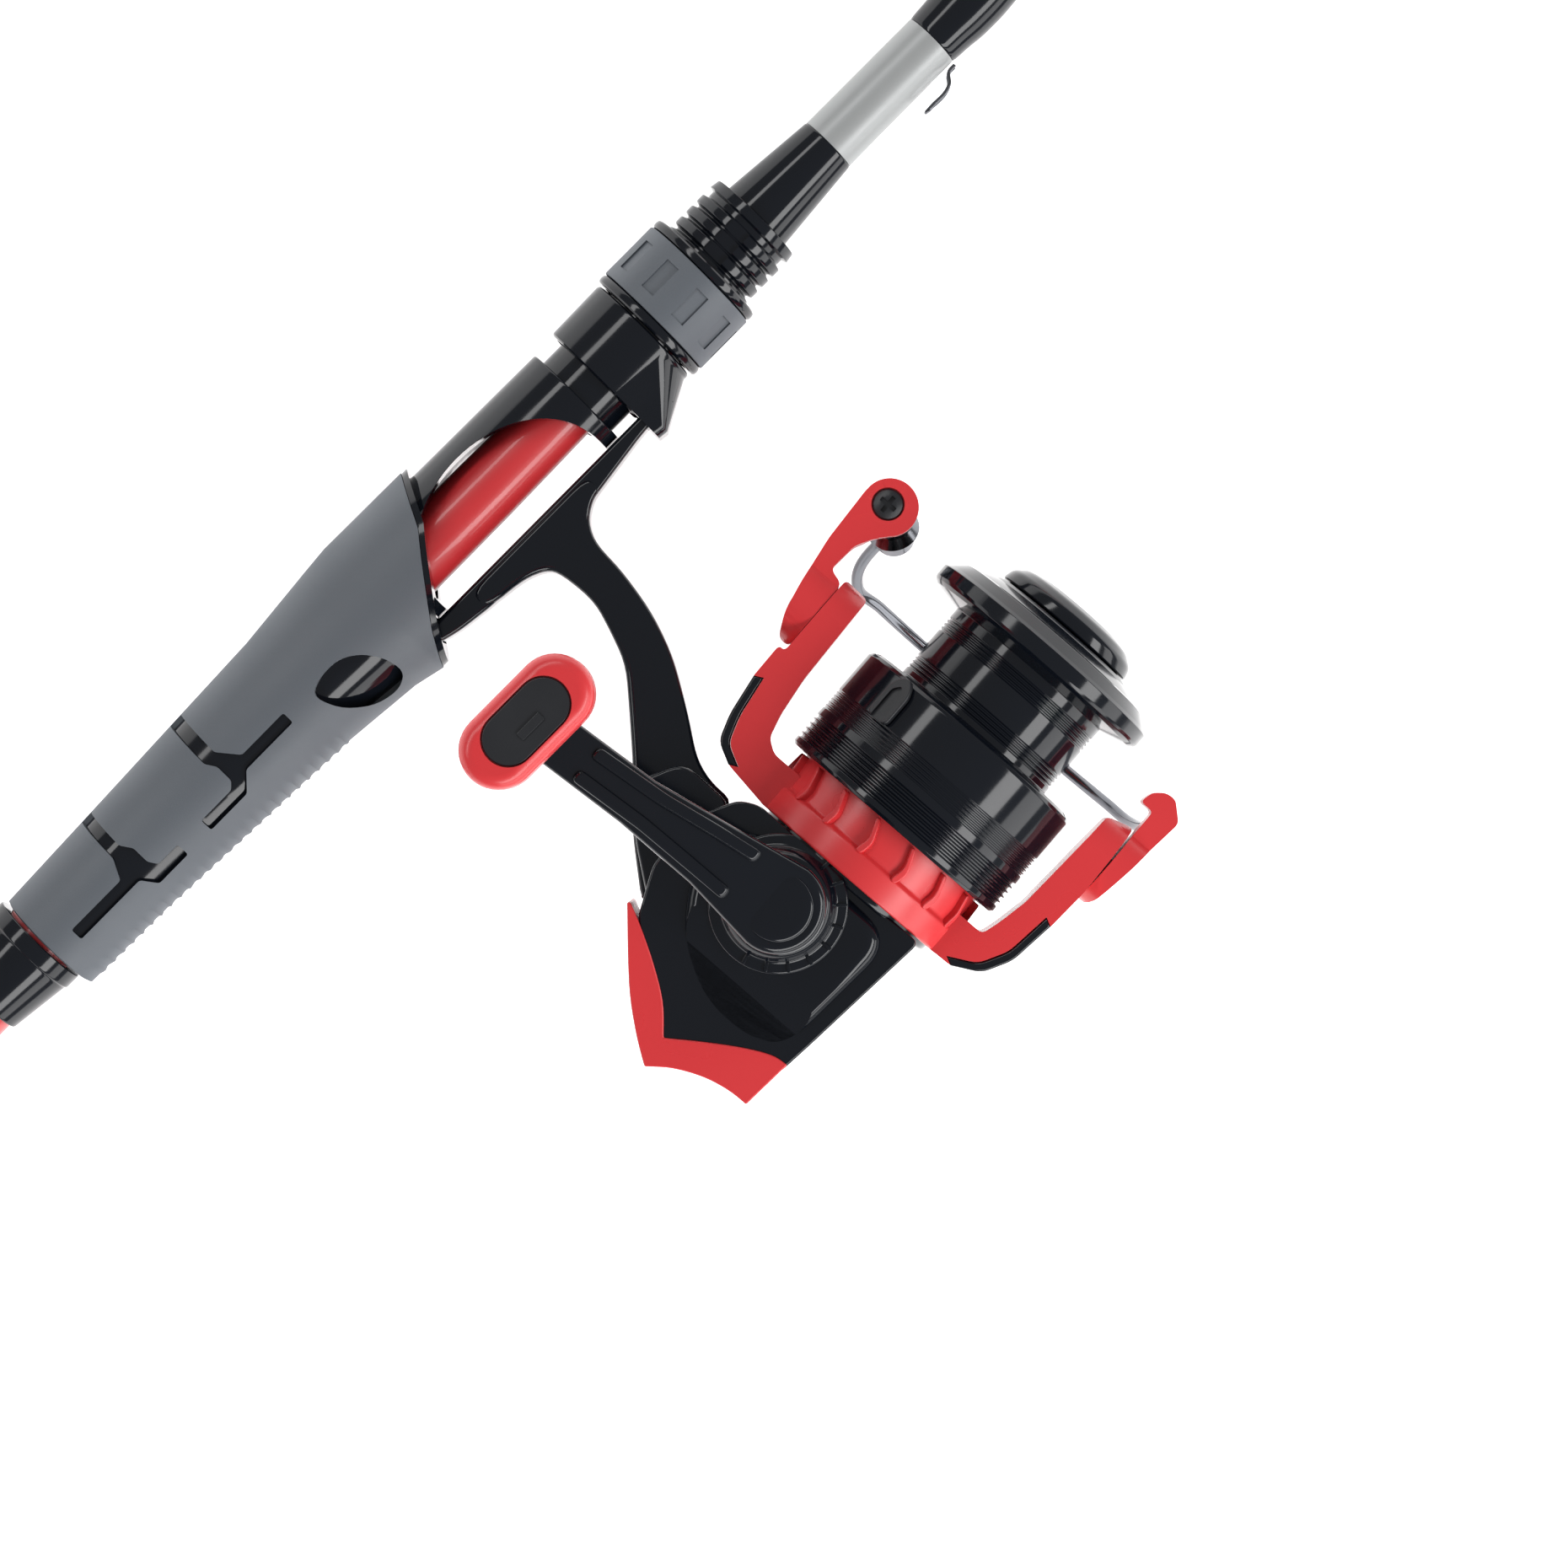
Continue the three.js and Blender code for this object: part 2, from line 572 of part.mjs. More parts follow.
// The housing narrows toward its tail on the crank side.
const tailSlope = () => plateY([[-60, BODY_HALF + 6], [-12, BODY_HALF + 1], [-60, -3]], -60, 60);

function stemOutline() {
  const rear = [[-0.7, 28], [-1.5, 20], [-3.1, 18], [-7.1, 16.4], [-13.5, 15.8], [-21.5, 14.8]];
  const foot = [
    [TONGUE_REAR + 5, FOOT_TOP + FOOT_THICKNESS], [TONGUE_REAR, FOOT_TOP + FOOT_THICKNESS - 0.2],
    [TONGUE_REAR, FOOT_TOP], [TONGUE_FRONT, FOOT_TOP], [TONGUE_FRONT, FOOT_TOP + FOOT_THICKNESS - 0.3],
  ];
  const front = [[26.5, FOOT_TOP + FOOT_THICKNESS], [12.1, 15.2], [8.9, 17.2], [6.9, 20.8], [6.7, 28]];
  const lowRear = [[-16, 24], [-6.3, 34.9], [2.3, 42.1], [10.2, 49.9], [15.4, 55.2], [18.2, 61.4]];
  const lowFront = [
    [25.6, 57.7], [22.2, 49.9], [17.8, 43.4], [15.1, 39.7], [11.1, 34.6], [9.5, 29.9], [9.5, 24],
  ];
  return [...lowRear, ...[...rear, ...foot, ...front].map(fromSeat), ...lowFront];
}

function makeReelBody() {
  const housing = plate(HOUSING, -BODY_HALF, BODY_HALF);
  const shoulder = plate([[-15, 23], [-6.5, 34], [1, 40], [9, 36], [8.8, 24]], -10, 10);
  const stem = plate(stemOutline(), -FOOT_HALF_WIDTH + 0.6, FOOT_HALF_WIDTH - 0.6);
  const boss = rod(NOSE_START - 1, BOSS_END, BOSS_R, 20);
  const nose = rod(NOSE_START, NOSE_END, NOSE_R);
  const dial = atCrank(turnedZ([
    [BODY_HALF - 1, 0], [BODY_HALF - 1, CRANK_BOSS_R], [BODY_HALF + 3.5, CRANK_BOSS_R],
    [BODY_HALF + 4, CRANK_BOSS_R - 2], [CRANK_BOSS_TOP, CRANK_BOSS_R - 2], [CRANK_BOSS_TOP, 0],
  ], 20));
  const crankBoss = common(dial, block(-30, NOSE_START, -30, 30, 0, 30));
  const shell = join(cut(join(housing, shoulder, stem), tailSlope()), boss, nose, crankBoss);
  const front = plate(CHAMBER, -BODY_HALF - 1, BODY_HALF - BODY_WALL);
  const deep = block(-14, 40, -40, 40, -BODY_HALF - 1, BODY_HALF);
  const shallow = block(-40, 0, -40, 40, -BODY_HALF - 1, BODY_HALF - 7);
  const chamber = common(front, join(deep, shallow));
  const bossRoom = common(
    rod(9, BOSS_END - BODY_WALL, BOSS_R - BODY_WALL, 28), block(0, 20, -14.2, 30, -15, 14),
  );
  const bearingTop = BODY_HALF + GAP;
  const bearingHolder = atCrank(rodZ(11.5, BODY_HALF - 1, CRANK_BEARING_R + 2.5));
  const posts = SCREW_PLACES.map(([x, y]) => rodZ(-BODY_HALF, 8, POST_R, 12).translate(x, y, 0));
  const holes = SCREW_PLACES.map(
    ([x, y]) => rodZ(-BODY_HALF - 1, -6, SCREW_R + GAP, 10).translate(x, y, 0),
  );
  const hollow = cut(shell, chamber, bossRoom);
  const filled = join(hollow, bearingHolder, ...posts);
  const bores = [
    atCrank(rodZ(-PINION_TIP_R - 2 * GAP - GEAR_THICKNESS, -PINION_ROOT_R, GEAR_R + 0.5, 28)),
    atCrank(rodZ(11, bearingTop, CRANK_BEARING_R + GAP)),
    atCrank(rodZ(0, CRANK_BOSS_TOP + 1, DRIVE_SHAFT_R + GAP)),
    rod(BOSS_END - BODY_WALL - 1, NOSE_END + 1, PINION_TIP_R + GAP),
    rod(BOSS_END + 0.2, NOSE_END + 1, PINION_BEARING_R + GAP),
    rod(NOSE_END - 5.8, NOSE_END + 1, ONE_WAY_R + GAP),
  ];
  return piece('reel_body', cut(filled, ...bores, ...holes), 'gloss_black');
}

function makeSideCover() {
  const top = -BODY_HALF - GAP;
  const lid = plate(HOUSING, top - COVER_THICKNESS, top);
  const outside = atCrank(rodZ(-COVER_BOSS_DEPTH, top - 1, CRANK_BOSS_R - 2.5));
  const inside = atCrank(rodZ(top - 1, -11.5, CRANK_BEARING_R + 2.3));
  const bearingRoom = atCrank(rodZ(-BODY_HALF, -11, CRANK_BEARING_R + GAP));
  const port = atCrank(rodZ(-COVER_BOSS_DEPTH - 1, -BODY_HALF + 1, DRIVE_SHAFT_R + GAP));
  const capRoom = atCrank(rodZ(-COVER_BOSS_DEPTH - 1, -COVER_BOSS_DEPTH + 1.7, 7));
  const holes = SCREW_PLACES.flatMap(([x, y]) => [
    rodZ(-BODY_HALF - 4, top + 1, SCREW_R + GAP, 10).translate(x, y, 0),
    rodZ(-BODY_HALF - 4, top - 0.9, 2.4, 14).translate(x, y, 0),
  ]);
  const bossRoom = rod(0, BOSS_END, BOSS_R + GAP, 20);
  return piece(
    'side_cover', cut(join(lid, outside, inside), bossRoom, bearingRoom, port, capRoom, ...holes),
    'gloss_black',
  );
}

function makeCoverScrews() {
  const seat = -BODY_HALF - GAP - 0.9 - GAP;
  const profile = [
    [seat - 1.2, 0], [seat - 1.2, 2.1], [seat, 2.1], [seat, SCREW_R], [-7, SCREW_R], [-7, 0],
  ];
  return SCREW_PLACES.map(([x, y], i) =>
    piece(`cover_screw_${i + 1}`, turnedZ(profile, 12).translate(x, y, 0), 'steel'));
}

function makeRearCover() {
  const band = plate([...COVER_BAND_OUTER, ...COVER_BAND_INNER], -BODY_HALF, BODY_HALF);
  return piece('rear_cover', cut(band, tailSlope()), 'red_plastic');
}

function makePortCap() {
  const top = -COVER_BOSS_DEPTH + 1.7 - GAP;
  const profile = [[top - 2.6, 0], [top - 2.6, 5.4], [top - 1.4, 6.7], [top, 6.7], [top, 0]];
  return piece('handle_port_cap', atCrank(turnedZ(profile, 16)), 'satin_black');
}

function makeBodyBearings() {
  const right = atCrank(tubeZ(12, BODY_HALF, CRANK_BEARING_R, DRIVE_SHAFT_R + GAP, 16));
  const left = atCrank(tubeZ(-BODY_HALF + GAP, -11.6, CRANK_BEARING_R, DRIVE_SHAFT_R + GAP, 16));
  const pinion = tube(BOSS_END + 0.5, NOSE_END - 6.1, PINION_BEARING_R, PINION_STEM_R + GAP, 16);
  const oneWay = tube(NOSE_END - 5.5, NOSE_END - GAP, ONE_WAY_R, PINION_STEM_R + GAP, 16);
  return [
    piece('crank_bearing_right', right, 'steel'),
    piece('crank_bearing_left', left, 'steel'),
    piece('pinion_bearing', pinion, 'steel'),
    piece('one_way_bearing', oneWay, 'steel'),
  ];
}

// The gear's ridges lie on lines that touch a circle as wide as the crank axis is offset.
function makeDriveGear() {
  const face = -PINION_TIP_R - GAP;
  const tip = -PINION_ROOT_R - GAP;
  const disc = rodZ(face - GEAR_THICKNESS, face, GEAR_R, 28);
  const shaft = rodZ(-BODY_HALF + GAP, SHAFT_TOP, DRIVE_SHAFT_R);
  const outline = [[-0.3, face - 0.5], [0.3, face - 0.5], [0.17, tip], [-0.17, tip]];
  const reach = Math.sqrt(GEAR_R ** 2 - CRANK_Y ** 2);
  const ridges = [];
  for (let tooth = 0; tooth < GEAR_TEETH; tooth += 1) {
    const turn = ((tooth + 0.5) * 2 * Math.PI) / GEAR_TEETH;
    const ridge = plate(outline, GEAR_MESH - 1, reach - 0.2);
    ridge.applyMatrix4(new THREE.Matrix4().set(0, 0, 1, 0, 1, 0, 0, -CRANK_Y, 0, 1, 0, 0, 0, 0, 0, 1));
    ridges.push(ridge.rotateZ(turn));
  }
  return piece('drive_gear', join(disc, shaft, ...ridges), 'brass');
}

const ARM_LINE = [[0, 0, 8.4], [-0.6, 14.3, 6.2], [-2, 30, 4.7], [-3, 46, 4.6]];
const ARM_END_SHIFT = -3.4;
const armUnder = (y) => ARM_BASE_Z + ARM_SLOPE * y;
const PIN_SEAT = armUnder(CRANK_RADIUS) + 0.4;
const KNOB_BASE_Z = armUnder(CRANK_RADIUS) + ARM_END_THICKNESS + 2;
const KNOB_END_Z = KNOB_BASE_Z + KNOB_HEIGHT;
const SHAFT_TOP = ARM_BASE_Z + ARM_ROOT_THICKNESS - 3.3;

function makeHandleArm() {
  const reach = CRANK_RADIUS + 8;
  const sides = ARM_LINE.slice(1).map(([x, y, half]) => [x, (y * CRANK_RADIUS) / 52, half]);
  const right = sides.map(([x, y, half]) => [x + half, y]);
  const left = sides.map(([x, y, half]) => [x - half, y]).reverse();
  const hub = arc(0, 0, 8.4, 180, 360, 12);
  const end = arc(ARM_END_SHIFT, CRANK_RADIUS, 4.8, 20, 160, 6);
  const outline = plate([...hub, ...right, ...end, ...left], 0, 90);
  const profile = plateX([
    [-12, ARM_BASE_Z - 1.5], [0, ARM_BASE_Z], [reach, armUnder(reach)],
    [reach, armUnder(reach) + ARM_END_THICKNESS],
    [0, ARM_BASE_Z + ARM_ROOT_THICKNESS], [-12, ARM_BASE_Z + ARM_ROOT_THICKNESS - 2],
  ], -20, 20);
  const collar = rodZ(CRANK_BOSS_TOP + 0.4, ARM_BASE_Z + 3, 8.2);
  const bore = rodZ(0, SHAFT_TOP + GAP, DRIVE_SHAFT_R + GAP);
  const pinHole = rodZ(0, 90, 2.2 + GAP, 16).translate(ARM_END_SHIFT, CRANK_RADIUS, 0);
  const spotFace = rodZ(0, PIN_SEAT, 3.4 + GAP, 16).translate(ARM_END_SHIFT, CRANK_RADIUS, 0);
  return piece(
    'handle_arm', cut(join(common(outline, profile), collar), bore, pinHole, spotFace),
    'gloss_black',
  );
}

function makeKnobPin() {
  const base = PIN_SEAT - GAP;
  const end = KNOB_END_Z - 5;
  const profile = [[base - 1.6, 0], [base - 1.6, 3.4], [base, 3.4], [base, 2.2], [end, 2.2], [end, 0]];
  return piece('knob_pin', turnedZ(profile, 16).translate(ARM_END_SHIFT, CRANK_RADIUS, 0), 'steel');
}

// A slot-shaped outline, turned a little as the paddle is.
function stadium(length, width) {
  const half = length / 2 - width / 2;
  const points = [...arc(half, 0, width / 2, -90, 90, 8), ...arc(-half, 0, width / 2, 90, 270, 8)];
  const turn = THREE.MathUtils.degToRad(-4);
  return points.map(
    ([x, y]) => [x * Math.cos(turn) - y * Math.sin(turn), x * Math.sin(turn) + y * Math.cos(turn)],
  );
}

function makeHandleKnob() {
  const neck = turnedZ(
    [
      [KNOB_BASE_Z, 0], [KNOB_BASE_Z, 5], [KNOB_BASE_Z + 7, 4.6], [KNOB_BASE_Z + 14, 6],
      [KNOB_BASE_Z + 14, 0],
    ],
    14,
  );
  const lower = plate(stadium(KNOB_LENGTH - 8, KNOB_WIDTH - 3), KNOB_BASE_Z + 8, KNOB_BASE_Z + 13);
  const paddle = plate(stadium(KNOB_LENGTH, KNOB_WIDTH), KNOB_BASE_Z + 12, KNOB_END_Z - 1);
  const crown = plate(stadium(KNOB_LENGTH - 2, KNOB_WIDTH - 2), KNOB_BASE_Z + 13, KNOB_END_Z);
  const bore = rodZ(KNOB_BASE_Z - 1, KNOB_END_Z - 4.7, 2.2 + GAP, 16);
  const inset = plate(stadium(17.6, 9.4), KNOB_END_Z - 1.3, KNOB_END_Z + 1);
  return piece('handle_knob', cut(join(neck, lower, paddle, crown), bore, inset), 'red_plastic');
}

function makeKnobCap() {
  return piece('knob_cap', plate(stadium(17, 8.8), KNOB_END_Z - 1, KNOB_END_Z + 0.3), 'satin_black');
}

// ---------------------------------------------------------------- rotor and bail
const NUT_FACE = WEB_END + GAP;
const NUT_THICKNESS = 3;
const COVER_T = 1.6;
const PIVOT_SCREW_R = 1.6;
const LEVER_HALF = 5;
const ROLLER_TILT = THREE.MathUtils.degToRad(30);
const ROLLER_PLACE = [67.6, 37.8];
const LEVER_END_Z = -2;
const ROLLER_LENGTH = 6.5;
const WIRE_FOOT_Z = -9.4;

const UPPER_ARM_OUTER = [[ROTOR_START, 20], [13.9, 29.5], [16, 33.6], [21, 35.3], [28.9, 36.5]];
const LOWER_ARM_OUTER = [[ROTOR_START, -17], [12.7, -23.9], [15.4, -29], [20.6, -31.8], [29.6, -32.9]];

// A strip along an arm's outside, from one depth under its surface to another.
function outerStrip(outer, side, from, to) {
  const points = outer.slice(1);
  const near = points.map(([x, y]) => [x + from * 0.5, y - side * from]);
  const far = points.map(([x, y]) => [x + to * 0.5, y - side * to]).reverse();
  return plate([...near, ...far], -ARM_HALF, ARM_HALF);
}

function makePinion() {
  const profile = [
    [GEAR_MESH - 0.8, SHAFT_R + GAP], [GEAR_MESH - 0.8, PINION_ROOT_R],
    [CRANK_X + GEAR_MESH + 2, PINION_ROOT_R],
    [BOSS_END - 0.3, PINION_STEM_R], [NUT_FACE + NUT_THICKNESS + 0.5, PINION_STEM_R],
    [NUT_FACE + NUT_THICKNESS + 0.5, SHAFT_R + GAP],
  ];
  const outline = [
    [-0.35, PINION_ROOT_R - 0.2], [0.35, PINION_ROOT_R - 0.2], [0.18, PINION_TIP_R],
    [-0.18, PINION_TIP_R],
  ];
  const teeth = [];
  for (let tooth = 0; tooth < PINION_TEETH; tooth += 1) {
    const ridge = plate(outline, 0, 3.8).applyMatrix4(
      new THREE.Matrix4().set(0, 0, 1, GEAR_MESH - 0.6, 1, 0, 0, 0, 0, 1, 0, 0, 0, 0, 0, 1));
    teeth.push(ridge.rotateX((tooth * 2 * Math.PI) / PINION_TEETH));
  }
  return piece('pinion_gear', join(turned(profile, 24), ...teeth), 'brass');
}

function makeRotor() {
  const upper = [
    ...UPPER_ARM_OUTER, [PIVOT_X - 8.9, 36.6], [PIVOT_X - 8.9, UPPER_ARM_Y],
    [PIVOT_X + PIVOT_DISC_R, UPPER_ARM_Y],
    [PIVOT_X + 7.7, 29.9], [34.3, 29.25], [27, 28.3], [22.4, 27.1], [BAR_END, 24.6], [BAR_END, 18],
    [ROTOR_START, 18],
  ];
  const lower = [
    ...LOWER_ARM_OUTER, [37.9, -LOWER_ARM_Y], [PIVOT_X + PIVOT_DISC_R, 0.5 - LOWER_ARM_Y],
    [PIVOT_X + 6.5, -27.8], [30, -26.6], [24.1, -25.4], [BAR_END, -24.4], [BAR_END, -15],
    [ROTOR_START, -15],
  ];
  const arms = join(plate(upper, -ARM_HALF, ARM_HALF), plate(lower, -ARM_HALF, ARM_HALF));
  const ends = plateY([
    ...arc(PIVOT_X, 0, PIVOT_DISC_R, -85, 85, 12), [PIVOT_X - 20, ARM_HALF + 2], [0, ARM_HALF + 2],
    [0, -ARM_HALF - 2], [PIVOT_X - 20, -ARM_HALF - 2],
  ], -60, 60);
  const strips = [
    outerStrip(UPPER_ARM_OUTER, 1, -3, COVER_T + GAP),
    outerStrip(LOWER_ARM_OUTER, -1, -3, COVER_T + GAP),
  ];
  const inside = rod(0, WEB_END + 20, ROTOR_R - ROTOR_WALL + 0.8, 20);
  const bars = cut(common(arms, ends), ...strips, inside);
  const cup = turned([
    [ROTOR_START, ROTOR_R - ROTOR_WALL], [ROTOR_START, ROTOR_R], [ROTOR_END, ROTOR_R],
    [ROTOR_END, ROTOR_R - ROTOR_WALL], [WEB_END, ROTOR_R - ROTOR_WALL], [WEB_END, PINION_STEM_R + GAP],
    [NOSE_END + 1, PINION_STEM_R + GAP], [NOSE_END + 1, 6], [WEB_START, 6],
    [WEB_START, ROTOR_R - ROTOR_WALL],
  ], 20);
  const pins = [
    rodY(24, 50, PIVOT_SCREW_R + GAP, 12).translate(PIVOT_X, 0, 0),
    rodY(-50, -24, PIVOT_SCREW_R + GAP, 12).translate(PIVOT_X, 0, 0),
  ];
  return piece('rotor', cut(join(cup, bars), ...pins), 'red_plastic');
}

function makeArmCovers() {
  return [
    piece('arm_cover_upper', outerStrip(UPPER_ARM_OUTER, 1, 0, COVER_T), 'gloss_black'),
    piece('arm_cover_lower', outerStrip(LOWER_ARM_OUTER, -1, 0, COVER_T), 'gloss_black'),
  ];
}

function makeRotorNut() {
  const nut = cut(rod(NUT_FACE, NUT_FACE + NUT_THICKNESS, 5.5, 6), rod(0, 60, PINION_STEM_R + GAP));
  return piece('rotor_nut', nut, 'steel');
}

// The bail's pivot screws stand in the rotor's arms, along the spool frame's y axis.
function makePivotScrews() {
  const screw = (side, inner, head) =>
    turned(
      [
        [inner, 0], [inner, PIVOT_SCREW_R], [head, PIVOT_SCREW_R], [head, 3], [head + 1.3, 3],
        [head + 1.3, 0],
      ],
      12,
    )
      .rotateZ((side * Math.PI) / 2)
      .translate(PIVOT_X, 0, 0);
  return [
    piece('bail_pivot_screw_upper', screw(1, 30.4, 39.2), 'steel'),
    piece('bail_pivot_screw_lower', screw(-1, 28.6, 35.1), 'steel'),
  ];
}

// Side view of the lever, in x and z: a disc round the pivot with an arm forward to the roller.
function makeBailLever() {
  const foot = UPPER_ARM_Y + GAP;
  const section = plate([
    [37, foot], [51.5, foot], [52.4, 38.6], [58.2, 38.1], [61.9, 36], [64, 34], [70.6, 34], [72.8, 37.8],
    [71.4, 41.4], [67.9, 43.1], [56.4, 42.5], [47.3, 41.1], [41.2, 39.8], [37, 37.7],
  ], -12, 12);
  const side = plateY([
    ...arc(PIVOT_X, 0, PIVOT_DISC_R - 0.2, 40, 320, 20), [60, -LEVER_HALF], [75, LEVER_END_Z],
    [75, LEVER_HALF],
    [60, LEVER_HALF],
  ], 30, 50);
  const boss = rodZ(LEVER_END_Z, LEVER_HALF, 5.2, 20).translate(...ROLLER_PLACE, 0);
  const head = rodZ(3.6, 10, 3.1, 12).translate(ROLLER_PLACE[0] + 0.2, ROLLER_PLACE[1] + 0.6, 0);
  const pinHole = rodY(30, 50, PIVOT_SCREW_R + GAP, 12).translate(PIVOT_X, 0, 0);
  const pinHead = rodY(38.9, 50, 3 + GAP, 12).translate(PIVOT_X, 0, 0);
  const shank = atRoller(rodZ(-30, 10, 1.2 + GAP, 12));
  const underside = atRoller(rodZ(-30, -GAP, ROLLER_R + 2, 12));
  return piece(
    'bail_lever', cut(join(common(section, side), boss), pinHole, pinHead, shank, head, underside),
    'red_plastic',
  );
}

// The roller's axis leans toward the spool; z is 0 at the lever and falls away behind it.
function atRoller(geometry) {
  const [x, y] = ROLLER_PLACE;
  const away = new THREE.Vector3(0.58, 0.815, 0).multiplyScalar(Math.sin(ROLLER_TILT));
  const axis = new THREE.Vector3(away.x, away.y, Math.cos(ROLLER_TILT));
  const turn = new THREE.Quaternion().setFromUnitVectors(new THREE.Vector3(0, 0, 1), axis.normalize());
  return geometry.applyQuaternion(turn).translate(x, y, LEVER_END_Z);
}

function makeRollerParts() {
  const back = -ROLLER_LENGTH - GAP;
  const roller = atRoller(turnedZ([
    [-GAP * 2, 1.2 + GAP], [-GAP * 2, ROLLER_R], [-2.4, ROLLER_R - 1.4], [-4.2, ROLLER_R - 1.4],
    [back, ROLLER_R],
    [back, 1.2 + GAP],
  ], 20));
  const screw = atRoller(turnedZ([[-9, 0], [-9, 1.2], [3.6, 1.2], [3.6, 0]], 10));
  const head = rodZ(3.9, 5.2, 2.8, 14).translate(ROLLER_PLACE[0] + 0.2, ROLLER_PLACE[1] + 0.6, 0);
  return [
    piece('line_roller', roller, 'dark_chrome'),
    piece('roller_screw', screw, 'steel'),
    piece('roller_screw_cap', head, 'satin_black'),
  ];
}

function makeBailHolder() {
  const foot = -LOWER_ARM_Y - GAP;
  const section = plate([
    [36.8, foot], [57.2, foot], [57.2, -30.6], [59.8, -31.2], [61.4, -33.1], [61.6, -35.2], [58.6, -38.4],
    [47.3, -37.2], [38.4, -36], [36.8, -35],
  ], -12, 12);
  const side = plateY([
    ...arc(PIVOT_X, 0, PIVOT_DISC_R - 0.2, 30, 330, 20), [58, -3.6], [62, -2.6], [62, 2.6], [58, 3.6],
  ], -50, -20);
  const pinHole = rodY(-50, -20, PIVOT_SCREW_R + GAP, 12).translate(PIVOT_X, 0, 0);
  const pinHead = rodY(-50, foot - 1.1, 3 + GAP, 12).translate(PIVOT_X, 0, 0);
  return piece('bail_holder', cut(common(section, side), pinHole, pinHead, wireSeat()), 'red_plastic');
}

// The wire bows round behind the spool from the roller's foot to the holder.
function bailWirePath() {
  const bow = [];
  for (const angle of [54, 36, 18, 0, -18, -36, -54]) {
    const turn = THREE.MathUtils.degToRad(angle);
    bow.push([WIRE_X, WIRE_BOW * Math.sin(turn), -WIRE_BOW * Math.cos(turn)]);
  }
  const foot = new THREE.BufferGeometry().setFromPoints([new THREE.Vector3(0, 0, WIRE_FOOT_Z)]);
  const place = atRoller(foot).attributes.position;
  const start = [place.getX(0), place.getY(0), place.getZ(0)];
  return [
    start, [start[0] - 3.4, start[1] + 1.4, start[2] - 3.4], ...bow, [56, -35.6, -12.5],
    [57.6, -34.9, -3.2],
  ];
}

function wireSeat() {
  return swept(bailWirePath().slice(-3), WIRE_R + GAP, 6, 5);
}

function makeBailWire() {
  const wire = swept(bailWirePath(), WIRE_R, 6, 26);
  const foot = atRoller(turnedZ([[-11.6, 0], [-11.6, 2.2], [-10.6, 3.6], [-9.3, 3.8], [-9.3, 0]], 12));
  const eyeEnd = -ROLLER_LENGTH - 2 * GAP;
  const eyeBore = 1.2 + GAP;
  const eye = atRoller(turnedZ([
    [eyeEnd - 1.6, eyeBore], [eyeEnd - 1.6, 3.8], [eyeEnd, 4.4], [eyeEnd, eyeBore],
  ], 12));
  const room = atRoller(rodZ(-9.3, 5, 1.2 + GAP, 12));
  const neck = atRoller(tubeZ(-9.5, -ROLLER_LENGTH - 2 * GAP - 1.4, 3.8, 1.2 + GAP, 12));
  return piece('bail_wire', cut(join(wire, foot, neck, eye), room), 'dark_chrome');
}

// ---------------------------------------------------------------- spool, shaft and drag
const SHAFT_REAR = -16.4;
const SPOOL_FRONT = 71.3;
const WEB_SPOOL = 58;
const WASHER_END = 66.2;

function makeMainShaft() {
  return piece('main_shaft', rod(SHAFT_REAR - 0.5, DRAG_KNOB_END - 2.6, SHAFT_R, 12), 'steel');
}

function makeCrosswindBlock() {
  const slider = block(SHAFT_REAR, SHAFT_REAR + 5.5, -2.5, 4.5, -2, 7);
  return piece('crosswind_block', cut(slider, rod(-40, 20, SHAFT_R + GAP, 12)), 'brass');
}

function makeSpool() {
  const bore = SHAFT_R + GAP;
  const wall = 2.5;
  const profile = [
    [50, bore], [50, 4.5], [WEB_SPOOL, 4.5], [WEB_SPOOL, BARREL_SPOOL_R - 2],
    [SKIRT_END - wall, BARREL_SPOOL_R - 2],
    [SKIRT_END - wall, SKIRT_R - SKIRT_WALL], [SKIRT_START, SKIRT_R - SKIRT_WALL],
    [SKIRT_START, SKIRT_R - 0.4],
    [SKIRT_START + 0.8, SKIRT_R], [SKIRT_END, SKIRT_R], [SKIRT_END, BARREL_SPOOL_R],
    [FLANGE_START, BARREL_SPOOL_R],
    [FLANGE_START + 1.4, FLANGE_R - 1], [FLANGE_START + 2.4, FLANGE_R], [FLANGE_START + 4.6, FLANGE_R],
    [FLANGE_START + 7.6, 20], [SPOOL_FRONT, DRAG_KNOB_R + 0.3], [SPOOL_FRONT, DRAG_CAVITY_R],
    [WEB_SPOOL + 2.5, DRAG_CAVITY_R], [WEB_SPOOL + 2.5, bore],
  ];
  return piece('spool', turned(profile, 24), 'gloss_black');
}

function makeLineClip() {
  const clip = block(-4.5, 4.5, -2.6, 2.6, 0, 1).translate(SKIRT_END - 5, 0, SKIRT_R + GAP);
  return piece('line_clip', clip.rotateX(THREE.MathUtils.degToRad(-38)), 'satin_black');
}

function makeDrag() {
  const washers = tube(WEB_SPOOL + 2.5 + GAP, WASHER_END, DRAG_CAVITY_R - 0.4, SHAFT_R + GAP, 20);
  const knob = turned([
    [WASHER_END + GAP, SHAFT_R + GAP], [WASHER_END + GAP, DRAG_CAVITY_R - 0.5],
    [SPOOL_FRONT + GAP, DRAG_CAVITY_R - 0.5],
    [SPOOL_FRONT + GAP, DRAG_KNOB_R], [SPOOL_FRONT + 2.6, DRAG_KNOB_R - 0.6],
    [SPOOL_FRONT + 4.2, DRAG_KNOB_R - 2.6],
    [DRAG_KNOB_END, DRAG_KNOB_R - 5.4], [DRAG_KNOB_END, 0], [DRAG_KNOB_END - 2.3, 0],
    [DRAG_KNOB_END - 2.3, SHAFT_R + GAP],
  ], 20);
  return [piece('drag_washers', washers, 'felt'), piece('drag_knob', knob, 'gloss_black')];
}

